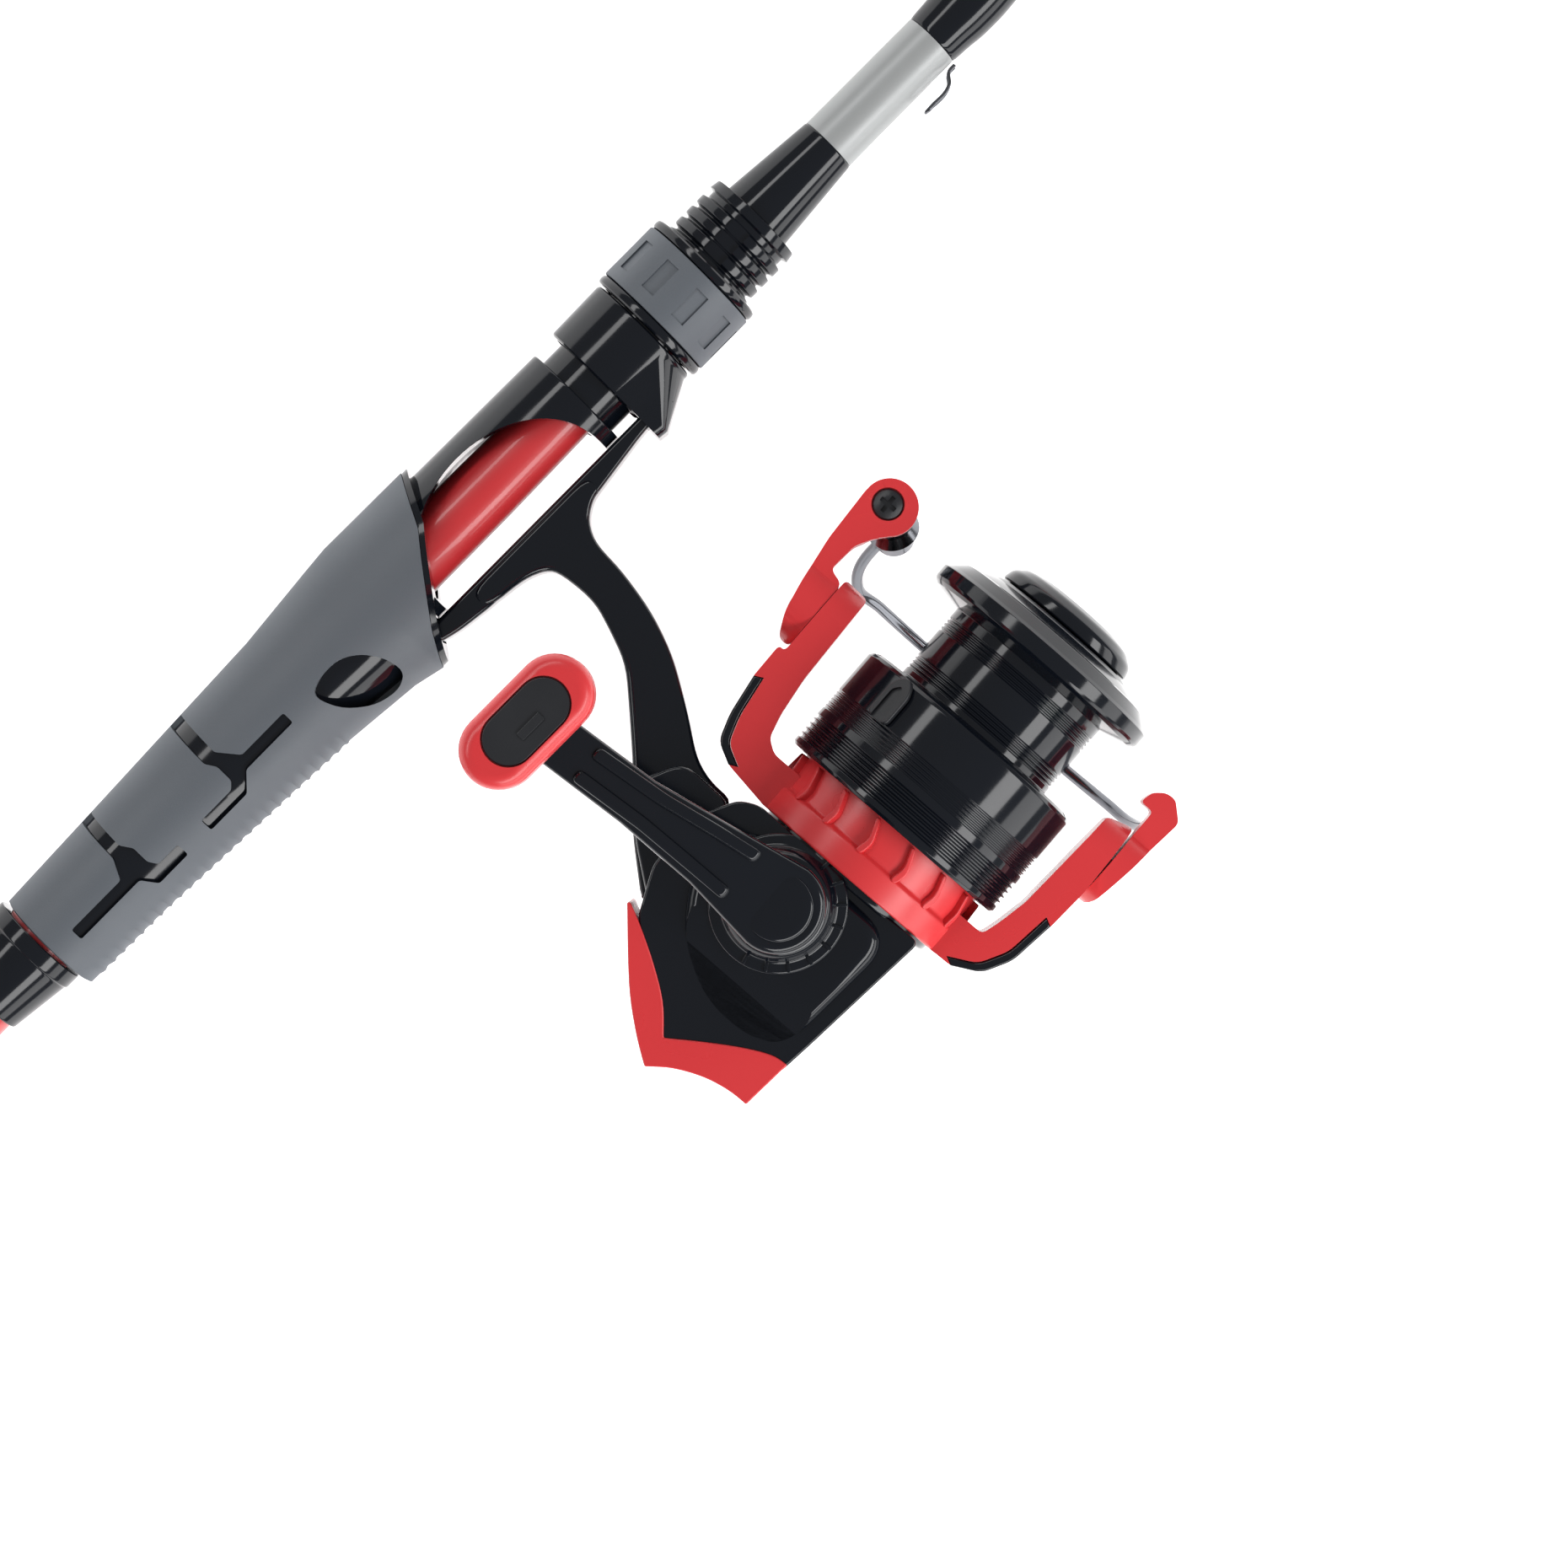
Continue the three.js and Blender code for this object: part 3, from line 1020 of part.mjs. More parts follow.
// ---------------------------------------------------------------- assembly
function group(children, place = [0, 0, 0]) {
  const made = new THREE.Group();
  made.position.set(...place);
  made.add(...children.flat());
  return made;
}

const knobGroup = group([makeHandleKnob(), makeKnobCap()], [ARM_END_SHIFT, CRANK_RADIUS, 0]);
const crank = group([makeDriveGear(), makeHandleArm(), makeKnobPin(), knobGroup], [CRANK_X, CRANK_Y, 0]);
const bail = group([makeBailLever(), makeRollerParts(), makeBailHolder(), makeBailWire()]);
const rotor = group([makePinion(), makeRotor(), makeArmCovers(), makeRotorNut(), makePivotScrews(), bail]);
const spool = group([makeMainShaft(), makeCrosswindBlock(), makeSpool(), makeLineClip(), makeDrag()]);
const bodyParts = [
  makeReelBody(), makeSideCover(), makeCoverScrews(), makeRearCover(), makePortCap(),
  makeBodyBearings(),
];
const reel = group([...bodyParts, crank, rotor, spool], [SEAT_X - REEL_SETBACK, -REEL_DROP, 0]);
reel.rotation.z = REEL_TILT;

const seat = [
  makeGripCheck(), makeGripSleeve(), makeReelSeat(), makeSlidingHood(), makeLockNut(), makeNutGrip(),
];
const blank = [makeButtCap(), makeRearGrip(), makeButtBlank(), makeFrontTrim(), makeHookKeeper()];
const tip = [makeFerruleWrap(), makeTipBlank(), makeTipTop()];
const guides = GUIDES.map(([x, ringR], i) => makeGuide(i + 1, x, ringR));
const rodAndReel = group([...blank, ...seat, ...tip, ...guides, reel]);

// It lies on the butt cap and on the lowest point of the bail wire.
const wireLow = WIRE_BOW + WIRE_R;
const wireDrop = REEL_DROP - WIRE_X * Math.sin(REEL_TILT);
rodAndReel.rotation.x = -Math.asin((wireLow - CAP_R) / wireDrop);

const root = group([rodAndReel]);
root.updateMatrixWorld(true);
const bounds = new THREE.Box3().setFromObject(root, true);
rodAndReel.position.set(
  -(bounds.min.x + bounds.max.x) / 2, -(bounds.min.y + bounds.max.y) / 2, -bounds.min.z,
);

export default root;
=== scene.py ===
# %% [markdown]
# # A spinning rod with its reel
# The rod lies on its butt cap and on the reel's bail wire, with the crank facing up.
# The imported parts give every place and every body. This script makes the fine surfaces around
# them, so the first step loads the parts and keeps the size of their box.
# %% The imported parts
import json
import math

import bmesh
import bpy
from mathutils import Matrix, Vector

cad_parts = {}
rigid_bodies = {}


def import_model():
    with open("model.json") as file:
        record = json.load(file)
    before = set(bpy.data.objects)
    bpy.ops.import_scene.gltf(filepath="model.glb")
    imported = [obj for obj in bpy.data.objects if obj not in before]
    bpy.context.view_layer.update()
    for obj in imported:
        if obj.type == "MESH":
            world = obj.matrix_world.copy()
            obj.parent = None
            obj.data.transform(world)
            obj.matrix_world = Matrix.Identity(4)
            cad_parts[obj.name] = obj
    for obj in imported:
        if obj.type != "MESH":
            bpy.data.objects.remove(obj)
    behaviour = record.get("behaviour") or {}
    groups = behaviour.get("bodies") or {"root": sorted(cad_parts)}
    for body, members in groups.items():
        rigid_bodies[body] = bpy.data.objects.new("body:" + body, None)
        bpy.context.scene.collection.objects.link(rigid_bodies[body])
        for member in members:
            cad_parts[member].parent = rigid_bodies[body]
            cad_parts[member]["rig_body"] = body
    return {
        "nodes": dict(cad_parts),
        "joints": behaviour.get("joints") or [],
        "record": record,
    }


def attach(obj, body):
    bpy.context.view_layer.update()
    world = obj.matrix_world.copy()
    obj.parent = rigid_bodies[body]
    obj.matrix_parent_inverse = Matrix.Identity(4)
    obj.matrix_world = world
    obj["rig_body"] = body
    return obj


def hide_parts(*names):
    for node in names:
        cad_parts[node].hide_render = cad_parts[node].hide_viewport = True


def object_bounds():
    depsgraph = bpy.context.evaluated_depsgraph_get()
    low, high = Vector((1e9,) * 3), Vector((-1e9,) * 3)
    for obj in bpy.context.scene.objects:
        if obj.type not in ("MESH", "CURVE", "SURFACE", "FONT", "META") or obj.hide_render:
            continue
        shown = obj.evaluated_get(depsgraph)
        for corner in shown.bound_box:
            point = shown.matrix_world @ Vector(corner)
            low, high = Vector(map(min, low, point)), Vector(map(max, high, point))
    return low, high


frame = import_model()
parts_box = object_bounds()
record = frame["record"]
joints = {joint["name"]: joint for joint in frame["joints"]}
slot_of = {part["node"]: part["material_slot"] for part in record["subparts"]}

# %% [markdown]
# ## Two tilted spaces
# A turned part is easiest to draw in a space where its axis is x. The rod is one such space and the
# reel, tilted a few degrees, is the other. Both are read from the joints' axes, in millimetres,
# and each finished mesh is moved from its space into the row frame in metres.
# %% The rod's space and the reel's space
MM = 0.001
CRANK_X = 1.1
CRANK_Y = 6.7
OUTWARD = Vector(joints["handle_crank"]["axis"]).normalized()
SPOOL_AXIS = Vector(joints["spool_stroke"]["axis"]).normalized()
SEAT_X = 293.5


def space(along, origin):
    across = OUTWARD.cross(along)
    turn = Matrix((along, across, OUTWARD)).transposed().to_4x4()
    return Matrix.Translation(origin) @ turn @ Matrix.Scale(MM, 4)


ROD = space(Vector((1, 0, 0)), Vector(record["mounts"][0]["pos_m"]))
SEAT = ROD @ Matrix.Translation((SEAT_X, 0, 0))
spool_spot = Vector(joints["spool_drag"]["pos_m"])
crank_spot = Vector(joints["handle_crank"]["pos_m"])
REEL = space(
    SPOOL_AXIS, spool_spot + SPOOL_AXIS * ((crank_spot - spool_spot).dot(SPOOL_AXIS) - CRANK_X * MM),
)
print("reel space starts at", tuple(round(v, 4) for v in REEL.translation))

# %% [markdown]
# ## Camera
# The camera looks straight at the crank side from a metre away. The rod climbs to the right
# across the picture and the reel hangs below it, with empty space left around them.
# %% Camera
PICTURE_WIDTH = 281.8 * MM
CAMERA_DISTANCE = 1.0
ROD_CLIMB = math.radians(45.24)
aim = SEAT @ Vector((0, -75.3, 0))
rod_along = Vector((1, 0, 0))
rod_up = OUTWARD.cross(rod_along)
right = rod_along * math.cos(ROD_CLIMB) - rod_up * math.sin(ROD_CLIMB)
up = rod_along * math.sin(ROD_CLIMB) + rod_up * math.cos(ROD_CLIMB)
camera_data = bpy.data.cameras.new("camera")
camera_data.angle = 2 * math.atan(PICTURE_WIDTH / 2 / CAMERA_DISTANCE)
camera_data.clip_end = 20
camera = bpy.data.objects.new("camera", camera_data)
camera.matrix_world = (
    Matrix.Translation(aim + OUTWARD * CAMERA_DISTANCE)
    @ Matrix((right, up, OUTWARD)).transposed().to_4x4()
)
bpy.context.collection.objects.link(camera)
bpy.context.scene.camera = camera
print("camera field", round(math.degrees(camera_data.angle), 2), "degrees")

# %% [markdown]
# ## Floor and light
# Gloss black plastic is seen only by what it mirrors. A pale glowing floor draws the thin white
# lines along the rims, and long soft panels above draw the grey streaks along the round parts.
# The rest of the room stays dim, so that black stays black.
# %% Floor and light
FLOOR_DROP = 0.012
FLOOR_HALF = 30.0
lowest = min(corner[2] for corner in parts_box)


def make_floor():
    bm = bmesh.new()
    bmesh.ops.create_grid(bm, x_segments=1, y_segments=1, size=FLOOR_HALF)
    bmesh.ops.translate(bm, verts=bm.verts, vec=(0, 0, lowest - FLOOR_DROP))
    mesh = bpy.data.meshes.new("floor")
    bm.to_mesh(mesh)
    bm.free()
    floor = bpy.data.objects.new("floor", mesh)
    bpy.context.collection.objects.link(floor)
    material = bpy.data.materials.new("floor_paper")
    material.use_nodes = True
    shader = material.node_tree.nodes["Principled BSDF"]
    shader.inputs["Base Color"].default_value = (0.9, 0.9, 0.9, 1)
    shader.inputs["Roughness"].default_value = 1
    shader.inputs["Emission Color"].default_value = (1, 1, 1, 1)
    shader.inputs["Emission Strength"].default_value = 0.8
    mesh.materials.append(material)


def make_panel(name, tilt, distance, width, length, watts):
    """A soft light panel along the rod, tilted in degrees from straight above toward the rod's far side."""
    light = bpy.data.lights.new(name, "AREA")
    light.shape = "RECTANGLE"
    light.size = length
    light.size_y = width
    light.energy = watts
    panel = bpy.data.objects.new(name, light)
    facing = OUTWARD * math.cos(math.radians(tilt)) + rod_up * math.sin(math.radians(tilt))
    turn = Matrix((rod_along, facing.cross(rod_along), facing)).transposed().to_4x4()
    panel.matrix_world = Matrix.Translation(aim + facing * distance) @ turn
    bpy.context.collection.objects.link(panel)


world = bpy.data.worlds.new("room")
world.use_nodes = True
world.node_tree.nodes["Background"].inputs["Color"].default_value = (1, 1, 1, 1)
world.node_tree.nodes["Background"].inputs["Strength"].default_value = 0.3
bpy.context.scene.world = world
bpy.context.scene.view_settings.view_transform = "Standard"
make_floor()
make_panel("key_panel", -54, 0.9, 0.28, 1.6, 9)
make_panel("far_panel", 40, 1.0, 0.16, 1.6, 4)
make_panel("near_panel", -84, 0.8, 0.3, 1.6, 4)
print("floor at", round(lowest - FLOOR_DROP, 4))

# %% [markdown]
# ## Finishes
# Two effects are shared by several finishes, so each is a node group: a fine moulded grain that
# roughens a surface, and slow wear that makes gloss a little uneven. Both follow Object
# coordinates, because every mesh here has its place in its points.
# %% Grain and wear as node groups
def new_group(name, inputs, outputs):
    group = bpy.data.node_groups.new(name, "ShaderNodeTree")
    for label, value in inputs:
        socket = group.interface.new_socket(label, in_out="INPUT", socket_type="NodeSocketFloat")
        socket.default_value = value
    for label in outputs:
        group.interface.new_socket(label, in_out="OUTPUT", socket_type="NodeSocketFloat")
    start = group.nodes.new("NodeGroupInput")
    end = group.nodes.new("NodeGroupOutput")
    return group, start, end


def make_grain_group():
    """Height of a fine grain, in grains to the metre."""
    group, start, end = new_group("moulded_grain", [("Scale", 3000)], ["Height"])
    place = group.nodes.new("ShaderNodeTexCoord")
    noise = group.nodes.new("ShaderNodeTexNoise")
    noise.inputs["Detail"].default_value = 3
    group.links.new(place.outputs["Object"], noise.inputs["Vector"])
    group.links.new(start.outputs["Scale"], noise.inputs["Scale"])
    group.links.new(noise.outputs["Fac"], end.inputs["Height"])
    return group


def make_wear_group():
    """Roughness that drifts between two values over the surface."""
    sockets = [("Scale", 60), ("Smooth", 0.1), ("Worn", 0.2)]
    group, start, end = new_group("slow_wear", sockets, ["Roughness"])
    place = group.nodes.new("ShaderNodeTexCoord")
    noise = group.nodes.new("ShaderNodeTexNoise")
    noise.inputs["Detail"].default_value = 4
    spread = group.nodes.new("ShaderNodeMapRange")
    spread.inputs["From Min"].default_value = 0.35
    spread.inputs["From Max"].default_value = 0.65
    group.links.new(place.outputs["Object"], noise.inputs["Vector"])
    group.links.new(start.outputs["Scale"], noise.inputs["Scale"])
    group.links.new(noise.outputs["Fac"], spread.inputs["Value"])
    group.links.new(start.outputs["Smooth"], spread.inputs["To Min"])
    group.links.new(start.outputs["Worn"], spread.inputs["To Max"])
    group.links.new(spread.outputs["Result"], end.inputs["Roughness"])
    return group


grain_group = make_grain_group()
wear_group = make_wear_group()
print("node groups", grain_group.name, wear_group.name)

# %% [markdown]
# ## One material for each finish
# The colours are plain values on the shader. Gloss plastics get slow wear, rubber and foam get
# grain through a Bump node, and the lacquered blank gets a clear coat.
# %% Materials
def make_finish(name, color, metallic=0, wear=None, grain=None, coat=0, specular=0.5):
    """wear is (smooth, worn) roughness; grain is (grains to the metre, bump distance in metres)."""
    material = bpy.data.materials.new(name)
    material.use_nodes = True
    nodes = material.node_tree.nodes
    links = material.node_tree.links
    shader = nodes["Principled BSDF"]
    shader.inputs["Base Color"].default_value = (*color, 1)
    shader.inputs["Metallic"].default_value = metallic
    shader.inputs["Coat Weight"].default_value = coat
    shader.inputs["Specular IOR Level"].default_value = specular
    smooth, worn = wear
    effect = nodes.new("ShaderNodeGroup")
    effect.node_tree = wear_group
    effect.inputs["Smooth"].default_value = smooth
    effect.inputs["Worn"].default_value = worn
    links.new(effect.outputs["Roughness"], shader.inputs["Roughness"])
    if grain:
        texture = nodes.new("ShaderNodeGroup")
        texture.node_tree = grain_group
        texture.inputs["Scale"].default_value = grain[0]
        bump = nodes.new("ShaderNodeBump")
        bump.inputs["Distance"].default_value = grain[1]
        links.new(texture.outputs["Height"], bump.inputs["Height"])
        links.new(bump.outputs["Normal"], shader.inputs["Normal"])
    return material


finishes = {
    "gloss_black": make_finish("gloss_black", (0.004, 0.0055, 0.009), wear=(0.07, 0.13), specular=0.4),
    "satin_black": make_finish(
        "satin_black", (0.012, 0.013, 0.016), wear=(0.35, 0.45), grain=(2500, 0.00002),
    ),
    "red_plastic": make_finish("red_plastic", (0.66, 0.035, 0.04), wear=(0.26, 0.34)),
    "red_blank": make_finish("red_blank", (0.60, 0.03, 0.035), wear=(0.3, 0.38), coat=0.4),
    "grey_rubber": make_finish(
        "grey_rubber", (0.105, 0.118, 0.135), wear=(0.5, 0.6), grain=(4000, 0.00002),
    ),
    "foam": make_finish("foam", (0.012, 0.012, 0.013), wear=(0.85, 0.95), grain=(1800, 0.0001)),
    "silver_label": make_finish("silver_label", (0.36, 0.37, 0.37), metallic=0.2, wear=(0.35, 0.42)),
    "steel": make_finish("steel", (0.5, 0.51, 0.53), metallic=1, wear=(0.22, 0.32)),
    "dark_chrome": make_finish("dark_chrome", (0.16, 0.165, 0.18), metallic=1, wear=(0.12, 0.2)),
    "brass": make_finish("brass", (0.55, 0.38, 0.14), metallic=1, wear=(0.3, 0.4)),
    "ceramic": make_finish("ceramic", (0.035, 0.037, 0.042), wear=(0.08, 0.12)),
    "felt": make_finish("felt", (0.25, 0.19, 0.11), wear=(0.9, 0.98), grain=(3000, 0.0001)),
}
for node, part in frame["nodes"].items():
    part.data.materials.clear()
    part.data.materials.append(finishes[slot_of[node]])
print("finishes", len(finishes))

# %% [markdown]
# ## Tools for shaping
# Most pieces are either turned on an axis or cut from a flat outline. `turned` spins a profile
# and `slab` extrudes an outline, and `rounded` softens a polygon's corners first, because no
# moulded edge is truly sharp. Booleans make the few shapes that meet at odd angles.
# %% Turned shapes, slabs and tubes
TURN_STEPS = 96


def rounded(points, radius, steps=4, closed=True):
    """The outline with each corner replaced by a short curve."""
    result = []
    for i, point in enumerate(points):
        here = Vector(point)
        if not closed and i in (0, len(points) - 1):
            result.append(here)
            continue
        before = Vector(points[i - 1]) - here
        after = Vector(points[(i + 1) % len(points)]) - here
        start = here + before.normalized() * min(radius, before.length * 0.45)
        end = here + after.normalized() * min(radius, after.length * 0.45)
        for k in range(steps + 1):
            t = k / steps
            result.append(start.lerp(here, t).lerp(here.lerp(end, t), t))
    return result
print("outline corners are rounded by a short curve")

# %% [markdown]
# A turned piece is one profile spun round an axis. It could be stacked from cylinders, but a
# spun profile closes on itself, so that each lathe mark is only one more point.
# %% Turned shapes
def tidy(bm):
    bmesh.ops.remove_doubles(bm, verts=bm.verts, dist=1e-4)
    bmesh.ops.dissolve_degenerate(bm, edges=bm.edges, dist=1e-5)
    bmesh.ops.recalc_face_normals(bm, faces=bm.faces)
    return bm


def turned(profile, radius=0.0, steps=TURN_STEPS):
    """A profile of (along, radius) spun about x. It closes on the axis or on itself."""
    closed = profile[0][1] > 0
    points = rounded(profile, radius, 3, closed) if radius else [Vector(p) for p in profile]
    bm = bmesh.new()
    ring = [bm.verts.new((p[0], p[1], 0)) for p in points]
    edges = [bm.edges.new(pair) for pair in zip(ring, ring[1:])]
    if closed:
        edges.append(bm.edges.new((ring[-1], ring[0])))
    bmesh.ops.spin(bm, geom=ring + edges, axis=(1, 0, 0), angle=2 * math.pi, steps=steps, use_merge=True)
    return tidy(bm)


def tube_of(start, end, outer, inner, radius=0.2, steps=TURN_STEPS):
    return turned([(start, inner), (start, outer), (end, outer), (end, inner)], radius, steps)


def rod_of(start, end, thickness, radius=0.0, steps=TURN_STEPS):
    return turned([(start, 0), (start, thickness), (end, thickness), (end, 0)], radius, steps)
print("turned shapes have", TURN_STEPS, "steps round the axis")

# %% [markdown]
# A slab is an outline lifted to a thickness, with its rims bevelled. Sculpting would give the
# same look, but an outline read from a side view keeps every edge where it was seen.
# %% Slabs and soft rims
def slab(outline, low, high, bevel=0.0, segments=3):
    """An outline of (x, y) points as a plate from low to high, with softened rims."""
    bm = bmesh.new()
    face = bm.faces.new([bm.verts.new((p[0], p[1], low)) for p in outline])
    lift = bmesh.ops.extrude_face_region(bm, geom=[face])
    lifted = [item for item in lift["geom"] if isinstance(item, bmesh.types.BMVert)]
    bmesh.ops.translate(bm, verts=lifted, vec=(0, 0, high - low))
    bmesh.ops.recalc_face_normals(bm, faces=bm.faces)
    if bevel:
        rims = [e for e in bm.edges if abs(e.verts[0].co.z - e.verts[1].co.z) < 1e-4]
        soften(bm, rims, bevel, segments)
    return bm


def soften(bm, edges, offset, segments=3):
    bmesh.ops.bevel(
        bm, geom=edges, offset=offset, segments=segments, profile=0.5, affect="EDGES",
        material=-1, clamp_overlap=True,
    )
print("slabs have soft rims")

# %% [markdown]
# Two shapes are neither turned nor cut from an outline. `flowing` draws a curve through a few
# places, and `wrapped` pulls a skin over points, which is how a flare between a circle and a
# rounded slot is found without a loft.
# %% Curves and skins
def flowing(points, steps=5):
    """A smooth curve through the points, for outlines that were read off as a few places."""
    spots = [points[0]] + list(points) + [points[-1]]
    curve = []
    for a, b, c, d in zip(spots, spots[1:], spots[2:], spots[3:]):
        for step in range(steps):
            t = step / steps
            curve.append(tuple(
                0.5 * (
                    2 * q + (r - p) * t + (2 * p - 5 * q + 4 * r - w) * t ** 2
                    + (3 * q - p - 3 * r + w) * t ** 3
                )
                for p, q, r, w in zip(a, b, c, d)
            ))
    return curve + [points[-1]]


def wrapped(points):
    """The tightest closed shape round a set of points, as a skin pulled over two sections."""
    bm = bmesh.new()
    skin = bmesh.ops.convex_hull(bm, input=[bm.verts.new(point) for point in points])
    spare = [
        item
        for item in skin["geom_interior"] + skin["geom_unused"] if isinstance(item, bmesh.types.BMVert)
    ]
    bmesh.ops.delete(bm, geom=list(set(spare)), context="VERTS")
    return tidy(bm)
print("curves and skins are ready")

# %% [markdown]
# Shapes are made along one axis, where their numbers are easy to read, and then stood up, moved
# or cut from the side. Making them in place would hide the sizes in the rotations.
# %% Standing, moving and boxes
def standing(bm):
    """Turns a shape made along x so that it stands on z."""
    bmesh.ops.rotate(bm, verts=bm.verts, matrix=Matrix.Rotation(-math.pi / 2, 3, "Y"))
    return bm


def moved(bm, *place):
    bmesh.ops.translate(bm, verts=bm.verts, vec=place)
    return bm


def box_of(x0, x1, y0, y1, z0, z1):
    bm = bmesh.new()
    bmesh.ops.create_cube(bm, size=1)
    bmesh.ops.scale(bm, verts=bm.verts, vec=(x1 - x0, y1 - y0, z1 - z0))
    return moved(bm, (x0 + x1) / 2, (y0 + y1) / 2, (z0 + z1) / 2)


def side_slab(outline, low, high):
    """An outline of (x, z) points as a plate from y low to y high."""
    bm = slab(outline, -high, -low)
    bmesh.ops.rotate(bm, verts=bm.verts, matrix=Matrix.Rotation(math.pi / 2, 3, "X"))
    return bm
print("shapes can be stood up and moved")

# %% [markdown]
# A wire is a curve through points with a round bevel, turned into a mesh so that it can be cut and
# measured like the others. Sweeping a circle by hand would need frames that don't twist.
# %% Arcs and wires
def arc(x, y, radius, start, end, steps):
    angles = [math.radians(start + (end - start) * i / steps) for i in range(steps + 1)]
    return [(x + radius * math.cos(a), y + radius * math.sin(a)) for a in angles]


def lookup(table, place):
    """A value read off a table of (place, value) rows, in straight lines between rows."""
    if place <= table[0][0]:
        return table[0][1]
    for (x0, y0), (x1, y1) in zip(table, table[1:]):
        if place <= x1:
            return y0 + (y1 - y0) * (place - x0) / (x1 - x0)
    return table[-1][1]


def wire(points, thickness, sides=16, smooth=True):
    """A round wire through the points, as a mesh with closed ends."""
    curve = bpy.data.curves.new("wire", "CURVE")
    curve.dimensions = "3D"
    curve.bevel_depth = thickness
    curve.bevel_resolution = sides // 4
    curve.use_fill_caps = True
    spline = curve.splines.new("BEZIER" if smooth else "POLY")
    if smooth:
        spline.bezier_points.add(len(points) - 1)
        for knot, point in zip(spline.bezier_points, points):
            knot.co = point
            knot.handle_left_type = "AUTO"
            knot.handle_right_type = "AUTO"
    else:
        spline.points.add(len(points) - 1)
        for knot, point in zip(spline.points, points):
            knot.co = (*point, 1)
    path = bpy.data.objects.new("wire", curve)
    mesh = bpy.data.meshes.new_from_object(path)
    bm = bmesh.new()
    bm.from_mesh(mesh)
    bpy.data.objects.remove(path)
    bpy.data.curves.remove(curve)
    bpy.data.meshes.remove(mesh)
    return tidy(bm)


print("a turned disc has", len(rod_of(0, 1, 2).faces), "faces")

# %% [markdown]
# ## Joining and cutting
# A Boolean modifier joins or cuts two solids exactly. `combine` runs one on two temporary objects
# and hands back the result, so that a piece can be shaped step by step.
# %% Joining, cutting and placing
def as_object(bm, name="shape"):
    mesh = bpy.data.meshes.new(name)
    bm.to_mesh(mesh)
    bm.free()
    made = bpy.data.objects.new(name, mesh)
    bpy.context.collection.objects.link(made)
    return made


def combine(base, tool, operation):
    first = as_object(base)
    second = as_object(tool)
    modifier = first.modifiers.new("combine", "BOOLEAN")
    modifier.object = second
    modifier.operation = operation
    modifier.solver = "EXACT"
    bpy.context.view_layer.update()
    mesh = bpy.data.meshes.new_from_object(first.evaluated_get(bpy.context.evaluated_depsgraph_get()))
    bm = bmesh.new()
    bm.from_mesh(mesh)
    for temporary in (first, second):
        data = temporary.data
        bpy.data.objects.remove(temporary)
        bpy.data.meshes.remove(data)
    bpy.data.meshes.remove(mesh)
    return bm


def cut(base, *tools):
    for tool in tools:
        base = combine(base, tool, "DIFFERENCE")
    return base


def join(base, *others):
    for other in others:
        base = combine(base, other, "UNION")
    return base


def common(base, other):
    return combine(base, other, "INTERSECT")


def together(*shapes):
    """Separate shapes in one mesh, for a piece made of closed forms that sink into each other."""
    bm = bmesh.new()
    for shape in shapes:
        mesh = bpy.data.meshes.new("part")
        shape.to_mesh(mesh)
        shape.free()
        bm.from_mesh(mesh)
        bpy.data.meshes.remove(mesh)
    return bm
print("booleans are solved exactly")

# %% [markdown]
# A finished bmesh becomes an object here. It gets its finish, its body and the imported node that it
# stands in for, in one call, so that no piece is left without one of them.
# %% Placing a finished piece
def sharp_edges(bm, angle=40):
    limit = math.radians(angle)
    return [e for e in bm.edges if len(e.link_faces) == 2 and e.calc_face_angle() > limit]


def place(bm, name, where, node, also=(), material=None, slot=None, stands_in=True, crease=32):
    """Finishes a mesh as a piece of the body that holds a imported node, in that node's finish."""
    bmesh.ops.recalc_face_normals(bm, faces=bm.faces)
    for face in bm.faces:
        face.smooth = True
    for edge in bm.edges:
        edge.smooth = len(edge.link_faces) == 2 and edge.calc_face_angle() < math.radians(crease)
    bm.transform(where)
    piece = as_object(bm, name)
    weighting = piece.modifiers.new("weighted_normals", "WEIGHTED_NORMAL")
    weighting.keep_sharp = True
    slot = slot or slot_of[node]
    piece.data.materials.append(material or finishes[slot])
    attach(piece, frame["nodes"][node]["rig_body"])
    if stands_in:
        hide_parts(node, *also)
    print(name, len(piece.data.polygons), "faces")
    return piece

# %% [markdown]
# ## The blank, the guides and the small trim on the rod
# The blank is a tapered tube, so it is turned from a few places and radii. The trims on it are
# turned as well, each a little proud of the blank.
# %% Blank and trims
CAP_LENGTH = 15
CAP_R = 14.2
ROD_LENGTH = 1830
FERRULE_X = 915
FERRULE_END = 970
SOCKET_R = 4.4
BLANK_TAPER = [(3, 7.9), (SEAT_X, 6.35), (SEAT_X + 87.1, 4.7), (FERRULE_X, 3.5), (FERRULE_END, 3.5)]
TIP_TAPER = [
    (FERRULE_X + 0.3, SOCKET_R), (FERRULE_END + 4, SOCKET_R), (FERRULE_END + 30, 3.5),
    (ROD_LENGTH - 4, 0.9),
]
GAP = 0.3


def blank_at(x):
    return lookup(BLANK_TAPER if x < FERRULE_X else TIP_TAPER, x)


def sleeve_on_blank(profile, radius=0.4):
    """A turned trim whose bore follows the blank."""
    bore = [(x, blank_at(x) + GAP / 2) for x in (profile[-1][0], profile[0][0])]
    return turned(profile + bore, radius)


